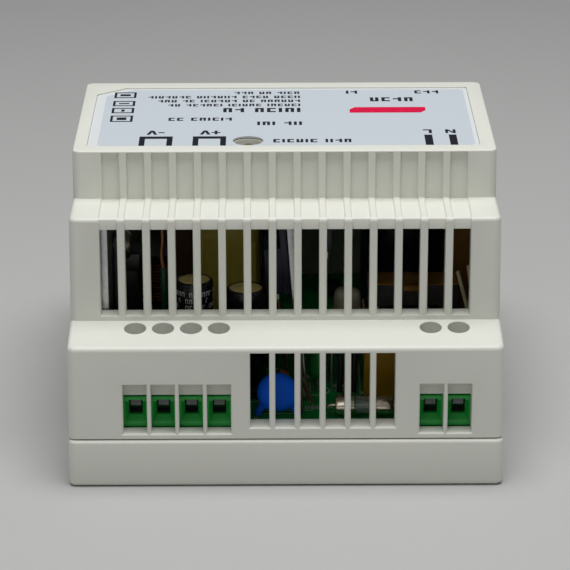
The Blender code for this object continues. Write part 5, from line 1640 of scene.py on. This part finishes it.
def transformer():
    """Transformer: split ferrite core with taped legs, taped winding, foot with its pins."""
    low, high = box_mm("transformer_core")
    leg, yoke, middle_leg = 3.2, 4.0, 6.0
    centre = (low.x + high.x) / 2
    bm = bmesh.new()
    add_box(bm, tuple(low), tuple(high))
    core = make("ferrite_core", bm, "ferrite", node="transformer_core")

    def windows(bm):
        for side in (-1, 1):
            inner = centre + side * middle_leg / 2
            outer = (high.x - leg) if side > 0 else (low.x + leg)
            x0, x1 = sorted((inner, outer))
            add_box(bm, (x0, low.y - 1.0, low.z + yoke), (x1, high.y + 1.0, high.z - yoke))

    def joint_line(bm):
        middle = (low.z + high.z) / 2
        for x0, x1 in ((low.x - 1.0, low.x + 0.2), (high.x - 0.2, high.x + 1.0)):
            add_box(bm, (x0, low.y - 1.0, middle - 0.08), (x1, high.y + 1.0, middle + 0.08))

    cut(core, windows, joint_line)
    soften(core, 0.3, 3)
    w_low, w_high = box_mm("transformer_winding")
    bm = bmesh.new()
    add_box(bm, tuple(w_low), tuple(w_high))
    bevel(bm, upright_edges(bm), 2.6, 8)
    winding = make("taped_winding", bm, "winding_tape", node="transformer_winding")

    def middle(bm):
        half = middle_leg / 2 + GAP
        add_box(bm, (centre - half, low.y - GAP, low.z), (centre + half, high.y + GAP, high.z))

    def tape_steps(bm):
        for z, deep in ((w_low.z + 1.6, 0.12), (w_high.z - 2.2, 0.12)):
            add_box(bm, (w_low.x - 1.0, w_low.y - 1.0, z), (w_high.x + 1.0, w_low.y + deep, z + 0.14))
            add_box(bm, (w_low.x - 1.0, w_high.y - deep, z), (w_high.x + 1.0, w_high.y + 1.0, z + 0.14))

    cut(winding, middle, tape_steps)
    bm = bmesh.new()
    end_low = (centre + 0.6, w_low.y - 0.1, w_low.z + 2.0)
    add_box(bm, end_low, (centre + 5.4, w_low.y + 0.05, w_high.z - 2.6), 0.04, 1)
    make("tape_end", bm, "winding_tape")
    bm = bmesh.new()
    for x0, x1, out in ((low.x - 0.12, low.x + leg - 0.2, -1), (high.x - leg + 0.2, high.x + 0.12, 1)):
        add_box(bm, (x0, low.y - 0.12, low.z + 1.5), (x1, low.y - 0.02, high.z - 1.5), 0.03, 1)
        add_box(bm, (x0, high.y + 0.02, low.z + 1.5), (x1, high.y + 0.12, high.z - 1.5), 0.03, 1)
        edge = low.x - 0.02 if out < 0 else high.x + 0.12
        add_box(bm, (edge - 0.1, low.y - 0.12, low.z + 1.5), (edge, high.y + 0.12, high.z - 1.5), 0.03, 1)
    make("core_tape", bm, "brown_tape")
    f_low, f_high = box_mm("transformer_foot")
    bm = bmesh.new()
    add_box(bm, tuple(f_low), tuple(f_high), 0.35, 2)
    foot = make("bobbin_foot", bm, "black_plastic", node="transformer_foot")

    def pin_notches(bm):
        for x in TRANSFORMER_PINS_X:
            for y in (f_low.y, f_high.y):
                add_box(bm, (x - 0.5, y - 0.6, f_low.z - 1.0), (x + 0.5, y + 0.6, f_high.z + 1.0))

    cut(foot, pin_notches)
    routes = []
    for x in TRANSFORMER_PINS_X:
        for side, y in ((1, f_low.y), (-1, f_high.y)):
            at = y + side * 0.35
            route = [(x, at, f_low.z - 0.2), (x, at, f_high.z), (x, y + side * 1.6, w_low.z + 1.5)]
            routes.append(bent(route, 0.5))
    wires("winding_ends", routes, 0.26, "copper", sides=8)


def add_folded_film(bm, outline, z0, z1, rows=24):
    """A film bent along an outline in plan, with a slight wave up its height."""
    rings = []
    for j in range(rows + 1):
        z = z0 + (z1 - z0) * j / rows
        wave = 0.06 * math.sin(0.35 * z) + 0.03 * math.sin(1.1 * z + 0.7)
        rings.append([bm.verts.new((x + wave, y + wave * 0.6, z)) for x, y in outline])
    skin(bm, rings)


def insulation():
    """Folded amber film beside the line filter and the large capacitor."""
    low, high = box_mm("insulation_sheet")
    x0, x1, y0, y1 = low.x, high.x - 0.05, low.y, high.y
    outline = [(x0, y0), (x1 - 0.5, y0), (x1 - 0.12, y0 + 0.12), (x1, y0 + 0.5), (x1, y1)]
    outline += [(x1 - 0.35, y1), (x1 - 0.35, y0 + 0.6), (x1 - 0.6, y0 + 0.35), (x0, y0 + 0.35)]
    bm = bmesh.new()
    add_folded_film(bm, outline, low.z, high.z)
    item = make("insulation_film", bm, "amber_film", node="insulation_sheet")
    smooth(item.data, 50)


def inductor():
    """Drum core between whose flanges the wire is wound."""
    low, high = box_mm("output_inductor")
    x, y, radius = (low.x + high.x) / 2, (low.y + high.y) / 2, (high.x - low.x) / 2
    profile = [
        (radius - 0.3, low.z), (radius, low.z + 0.3), (radius, 11.4), (radius - 0.2, 11.6), (3.0, 11.6),
        (3.0, 20.4), (radius - 0.2, 20.4), (radius, 20.6), (radius, high.z - 0.3), (radius - 0.3, high.z),
    ]
    bm = bmesh.new()
    add_lathe(bm, profile, (x, y), 56)
    make("drum_core", bm, "ferrite", node="output_inductor")
    bm = bmesh.new()
    points = []
    turns, per_turn, wire = 12, 32, 0.36
    reach = radius - 0.9
    for i in range(turns * per_turn + 1):
        angle = math.tau * i / per_turn
        rise = 8.0 * i / (turns * per_turn)
        points.append((x + reach * math.cos(angle), y + reach * math.sin(angle), 12.0 + rise))
    add_tube(bm, points, wire, 8)
    item = make("drum_winding", bm, "copper")
    smooth(item.data, 60)


def chip(name, node, pins, size):
    """Moulded chip with a dimple by its first pin and bent leads along both long sides."""
    low, high = box_mm(node)
    x, y = (low.x + high.x) / 2, (low.y + high.y) / 2
    wide, deep, tall = size
    bottom = ON_BOARD + 0.5
    bm = bmesh.new()
    faces = add_box(bm, (x - wide / 2, y - deep / 2, bottom), (x + wide / 2, y + deep / 2, bottom + tall))
    for vertex in {v for face in faces for v in face.verts if v.co.z > bottom + 0.1}:
        vertex.co.x -= math.copysign(0.15, vertex.co.x - x)
        vertex.co.y -= math.copysign(0.15, vertex.co.y - y)
    bevel(bm, list(bm.edges), 0.1, 2)
    item = make(name, bm, "black_plastic", node=node)
    spot = (x - wide / 4, y - deep / 2 + 0.9)
    cut(item, lambda bm: add_cylinder(bm, spot, 0.35, bottom + tall - 0.1, bottom + tall + 1.0, 20))
    bm = bmesh.new()
    for side in (-1, 1):
        for i in range(pins):
            at = y + (i - (pins - 1) / 2) * deep / pins
            outline = [
                (x + side * (wide / 2 - 0.2), bottom + 0.2), (x + side * (wide / 2 + 0.3), bottom + 0.2),
                (x + side * (wide / 2 + 0.4), ON_BOARD), (x + side * (wide / 2 + 0.7), ON_BOARD),
                (x + side * (wide / 2 + 0.7), ON_BOARD + 0.2), (x + side * (wide / 2 + 0.55), bottom + 0.45),
                (x + side * (wide / 2 - 0.2), bottom + 0.45),
            ]
            add_prism(bm, outline, "Y", at - 0.25, at + 0.25)
    make(f"{name}_leads", bm, "tinned")


def chips():
    chip("optocoupler_body", "optocoupler", 2, (4.6, 6.6, 3.4))
    chip("controller_body", "controller_chip", 4, (4.0, 5.0, 1.5))


def light():
    """Round status light in the tube of the panel, on leads bent back over the transformer."""
    _, high = box_mm("status_light")
    x, y = LIGHT_AT
    base = high.z - LIGHT_HEIGHT
    profile = [
        (1.75, base), (1.9, base + 0.12), (1.9, base + 0.8), (1.8, base + 0.9), (1.5, base + 0.95),
        (1.5, base + 3.6),
    ]
    for k in range(1, 9):
        angle = math.pi / 2 * k / 9
        profile.append((1.5 * math.cos(angle), base + 3.6 + 1.5 * math.sin(angle)))
    bm = bmesh.new()
    add_lathe(bm, profile, (x, y), 40)
    item = make("light_body", bm, "lens", node="status_light")
    smooth(item.data, 50)
    run, back = LIGHT_LEAD_RUN
    routes = []
    for spot in (x - 1.27, x + 1.27):
        route = [(spot, y, base + 0.3), (spot, y, run), (spot, back, run), (spot, back, BOARD_TOP)]
        routes.append(bent(route, 0.8, 6))
    wires("light_leads", routes, 0.27)


def hookup_wires():
    """Loose leads and small sleeved parts between the larger ones."""
    runs = (
        ("copper_lead", "bare_copper", 0.3, (
            (-22.4, -24.5, 44.0), (-22.2, -24.5, 39.5), (-22.6, -24.2, 37.0), (-22.2, -24.6, 34.2))),
        ("green_sleeve", "dark_green", 0.6, (
            (-22.2, -24.6, 34.4), (-22.0, -24.8, 24.0), (-22.1, -24.8, BOARD_TOP))),
        ("brown_wire_1", "brown_tape", 0.22, ((2.2, -31.0, 24.0), (3.2, -33.0, 17.0), (4.9, -34.0, 11.5))),
        ("brown_wire_2", "brown_tape", 0.22, ((1.6, -30.0, 25.5), (1.9, -31.5, 19.0), (4.2, -33.5, 12.0))),
        ("grey_lead_sleeve", "grey_sleeve", 0.7, (
            (2.4, -34.2, 24.5), (2.5, -34.2, 16.0), (2.6, -34.2, BOARD_TOP))),
        ("pale_wire_1", "pale_wire", 0.36, (
            (31.6, -23.0, 33.0), (33.0, -25.5, 28.0), (34.3, -27.5, 22.0), (34.4, -28.0, 12.0))),
        ("pale_wire_2", "pale_wire", 0.3, (
            (33.6, -21.5, 33.5), (34.2, -24.0, 28.5), (34.9, -26.0, 22.5), (34.9, -26.5, 12.0))),
    )
    for name, finish, radius, points in runs:
        item = wires(name, [bent(points, 1.5, 5)], radius, finish)
        smooth(item.data, 60)


# ---------------------------------------------------------------- stage


def studio():
    """Pale floor, soft lights above and in front, even sky and the camera."""
    scene = bpy.context.scene
    stage = scene.supply_stage
    scene.view_settings.view_transform = "Standard"
    bm = bmesh.new()
    bmesh.ops.create_grid(bm, x_segments=24, y_segments=24, size=3.0)
    mesh = bpy.data.meshes.new("pale_floor")
    bm.to_mesh(mesh)
    bm.free()
    floor = bpy.data.objects.new("pale_floor", mesh)
    scene.collection.objects.link(floor)
    floor.location.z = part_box("bottom_cover")[0].z - 0.0001
    mesh.materials.append(look("floor"))
    add_area("key_light", (0.02, -0.07, 0.55), (0.0, 0.0, 0.04), 0.4, stage.key_power)
    add_area("fill_light", (-0.25, -0.85, 0.55), (0.0, 0.0, 0.03), 0.6, stage.fill_power)
    world = scene.world or bpy.data.worlds.new("sky")
    scene.world = world
    world.use_nodes = True
    ground = world.node_tree.nodes["Background"]
    ground.inputs["Color"].default_value = (0.95, 0.97, 1.0, 1.0)
    ground.inputs["Strength"].default_value = stage.world_light
    eye = bpy.data.cameras.new("camera")
    eye.sensor_width = 36.0
    eye.lens = stage.lens
    camera = bpy.data.objects.new("camera", eye)
    scene.collection.objects.link(camera)
    camera.location = CAMERA_AT
    pitch, turn, roll = CAMERA_TURN
    facing = Matrix.Rotation(turn, 4, "Z") @ Matrix.Rotation(pitch, 4, "X") @ Matrix.Rotation(roll, 4, "Z")
    camera.rotation_euler = facing.to_euler()
    eye.clip_start, eye.clip_end = 0.02, 20.0
    scene.camera = camera


CAMERA_AT = (-0.002268, -0.498061, 0.203704)
CAMERA_TURN = (math.radians(69.899), math.radians(-0.2751), math.radians(-0.1217))


def add_area(name, at, target, size, power):
    lamp = bpy.data.lights.new(name, "AREA")
    lamp.shape = "DISK"
    lamp.size = size
    lamp.energy = power
    item = bpy.data.objects.new(name, lamp)
    bpy.context.scene.collection.objects.link(item)
    item.location = at
    item.rotation_euler = (Vector(target) - Vector(at)).to_track_quat("-Z", "Y").to_euler()


# ---------------------------------------------------------------- operators


class SUPPLY_OT_case(Operator):
    """Build the upper shell and the rail-side cover"""

    bl_idname = "supply.case"
    bl_label = "Case"

    def execute(self, context):
        shell()
        cover()
        return {"FINISHED"}


class SUPPLY_OT_label(Operator):
    """Build the label film and the marks printed on it"""

    bl_idname = "supply.label"
    bl_label = "Label"

    def execute(self, context):
        label()
        return {"FINISHED"}


class SUPPLY_OT_latch(Operator):
    """Build the rail latch and its return spring"""

    bl_idname = "supply.latch"
    bl_label = "Rail Latch"

    def execute(self, context):
        latch()
        spring()
        return {"FINISHED"}


class SUPPLY_OT_terminals(Operator):
    """Build the terminal blocks with their screws, cages and bars"""

    bl_idname = "supply.terminals"
    bl_label = "Terminals"

    def execute(self, context):
        terminal_block("output_block", "output_terminal_block", OUTPUT_TERMINALS)
        terminal_block("input_block", "input_terminal_block", INPUT_TERMINALS)
        for number, x in enumerate(OUTPUT_TERMINALS + INPUT_TERMINALS, start=1):
            clamp_screw(number, x)
            wire_cage(number, x)
            contact_bar(number, x)
        return {"FINISHED"}


class SUPPLY_OT_board(Operator):
    """Build the circuit board with its print and solder"""

    bl_idname = "supply.board"
    bl_label = "Circuit Board"

    def execute(self, context):
        board()
        return {"FINISHED"}


class SUPPLY_OT_fuse(Operator):
    """Build the glass fuse"""

    bl_idname = "supply.fuse"
    bl_label = "Fuse"

    def execute(self, context):
        fuse_parts()
        return {"FINISHED"}


class SUPPLY_OT_coated_parts(Operator):
    """Build the coated discs, the inrush limiter and the snubber resistor"""

    bl_idname = "supply.coated_parts"
    bl_label = "Coated Parts"

    def execute(self, context):
        varistor_and_discs()
        inrush_limiter()
        snubber()
        return {"FINISHED"}


class SUPPLY_OT_capacitors(Operator):
    """Build the electrolytic cans and the film capacitor"""

    bl_idname = "supply.capacitors"
    bl_label = "Capacitors"

    def execute(self, context):
        capacitors()
        return {"FINISHED"}


class SUPPLY_OT_power_side(Operator):
    """Build the heat sinks, power packages and bridge rectifier"""

    bl_idname = "supply.power_side"
    bl_label = "Heat Sinks and Packages"

    def execute(self, context):
        power_side()
        rectifier()
        return {"FINISHED"}


class SUPPLY_OT_wound_parts(Operator):
    """Build the transformer, line filter and output inductor"""

    bl_idname = "supply.wound_parts"
    bl_label = "Wound Parts"

    def execute(self, context):
        transformer()
        choke()
        inductor()
        return {"FINISHED"}


class SUPPLY_OT_small_parts(Operator):
    """Build the chips, insulation film, status light and loose leads"""

    bl_idname = "supply.small_parts"
    bl_label = "Small Parts"

    def execute(self, context):
        chips()
        insulation()
        light()
        hookup_wires()
        return {"FINISHED"}


class SUPPLY_OT_stage(Operator):
    """Build the floor, lights, sky and camera"""

    bl_idname = "supply.stage"
    bl_label = "Stage"

    def execute(self, context):
        studio()
        return {"FINISHED"}


class SUPPLY_PT_panel(Panel):
    """Sizes, colours and build steps of the power supply"""

    bl_idname = "SUPPLY_PT_panel"
    bl_label = "Power Supply"
    bl_space_type = "VIEW_3D"
    bl_region_type = "UI"
    bl_category = "Power Supply"

    def draw(self, context):
        layout = self.layout
        for name, group in SETTINGS:
            settings = getattr(context.scene, name)
            box = layout.box()
            for prop in group.__annotations__:
                box.prop(settings, prop)
        for step in STEPS:
            layout.operator(step.bl_idname)


SETTINGS = (
    ("supply_case", CaseSettings),
    ("supply_label", LabelSettings),
    ("supply_terminals", TerminalSettings),
    ("supply_electronics", ElectronicsSettings),
    ("supply_stage", StageSettings),
)
STEPS = (
    SUPPLY_OT_stage,
    SUPPLY_OT_case,
    SUPPLY_OT_label,
    SUPPLY_OT_latch,
    SUPPLY_OT_terminals,
    SUPPLY_OT_board,
    SUPPLY_OT_fuse,
    SUPPLY_OT_coated_parts,
    SUPPLY_OT_capacitors,
    SUPPLY_OT_power_side,
    SUPPLY_OT_wound_parts,
    SUPPLY_OT_small_parts,
)


def register():
    for _, group in SETTINGS:
        bpy.utils.register_class(group)
    for name, group in SETTINGS:
        setattr(bpy.types.Scene, name, PointerProperty(type=group))
    for step in STEPS:
        bpy.utils.register_class(step)
    bpy.utils.register_class(SUPPLY_PT_panel)


def unregister():
    bpy.utils.unregister_class(SUPPLY_PT_panel)
    for step in reversed(STEPS):
        bpy.utils.unregister_class(step)
    for name, _ in SETTINGS:
        delattr(bpy.types.Scene, name)
    for _, group in reversed(SETTINGS):
        bpy.utils.unregister_class(group)


def main():
    register()
    for step in STEPS:
        family, call = step.bl_idname.split(".")
        getattr(getattr(bpy.ops, family), call)()


if __name__ == "__main__":
    main()
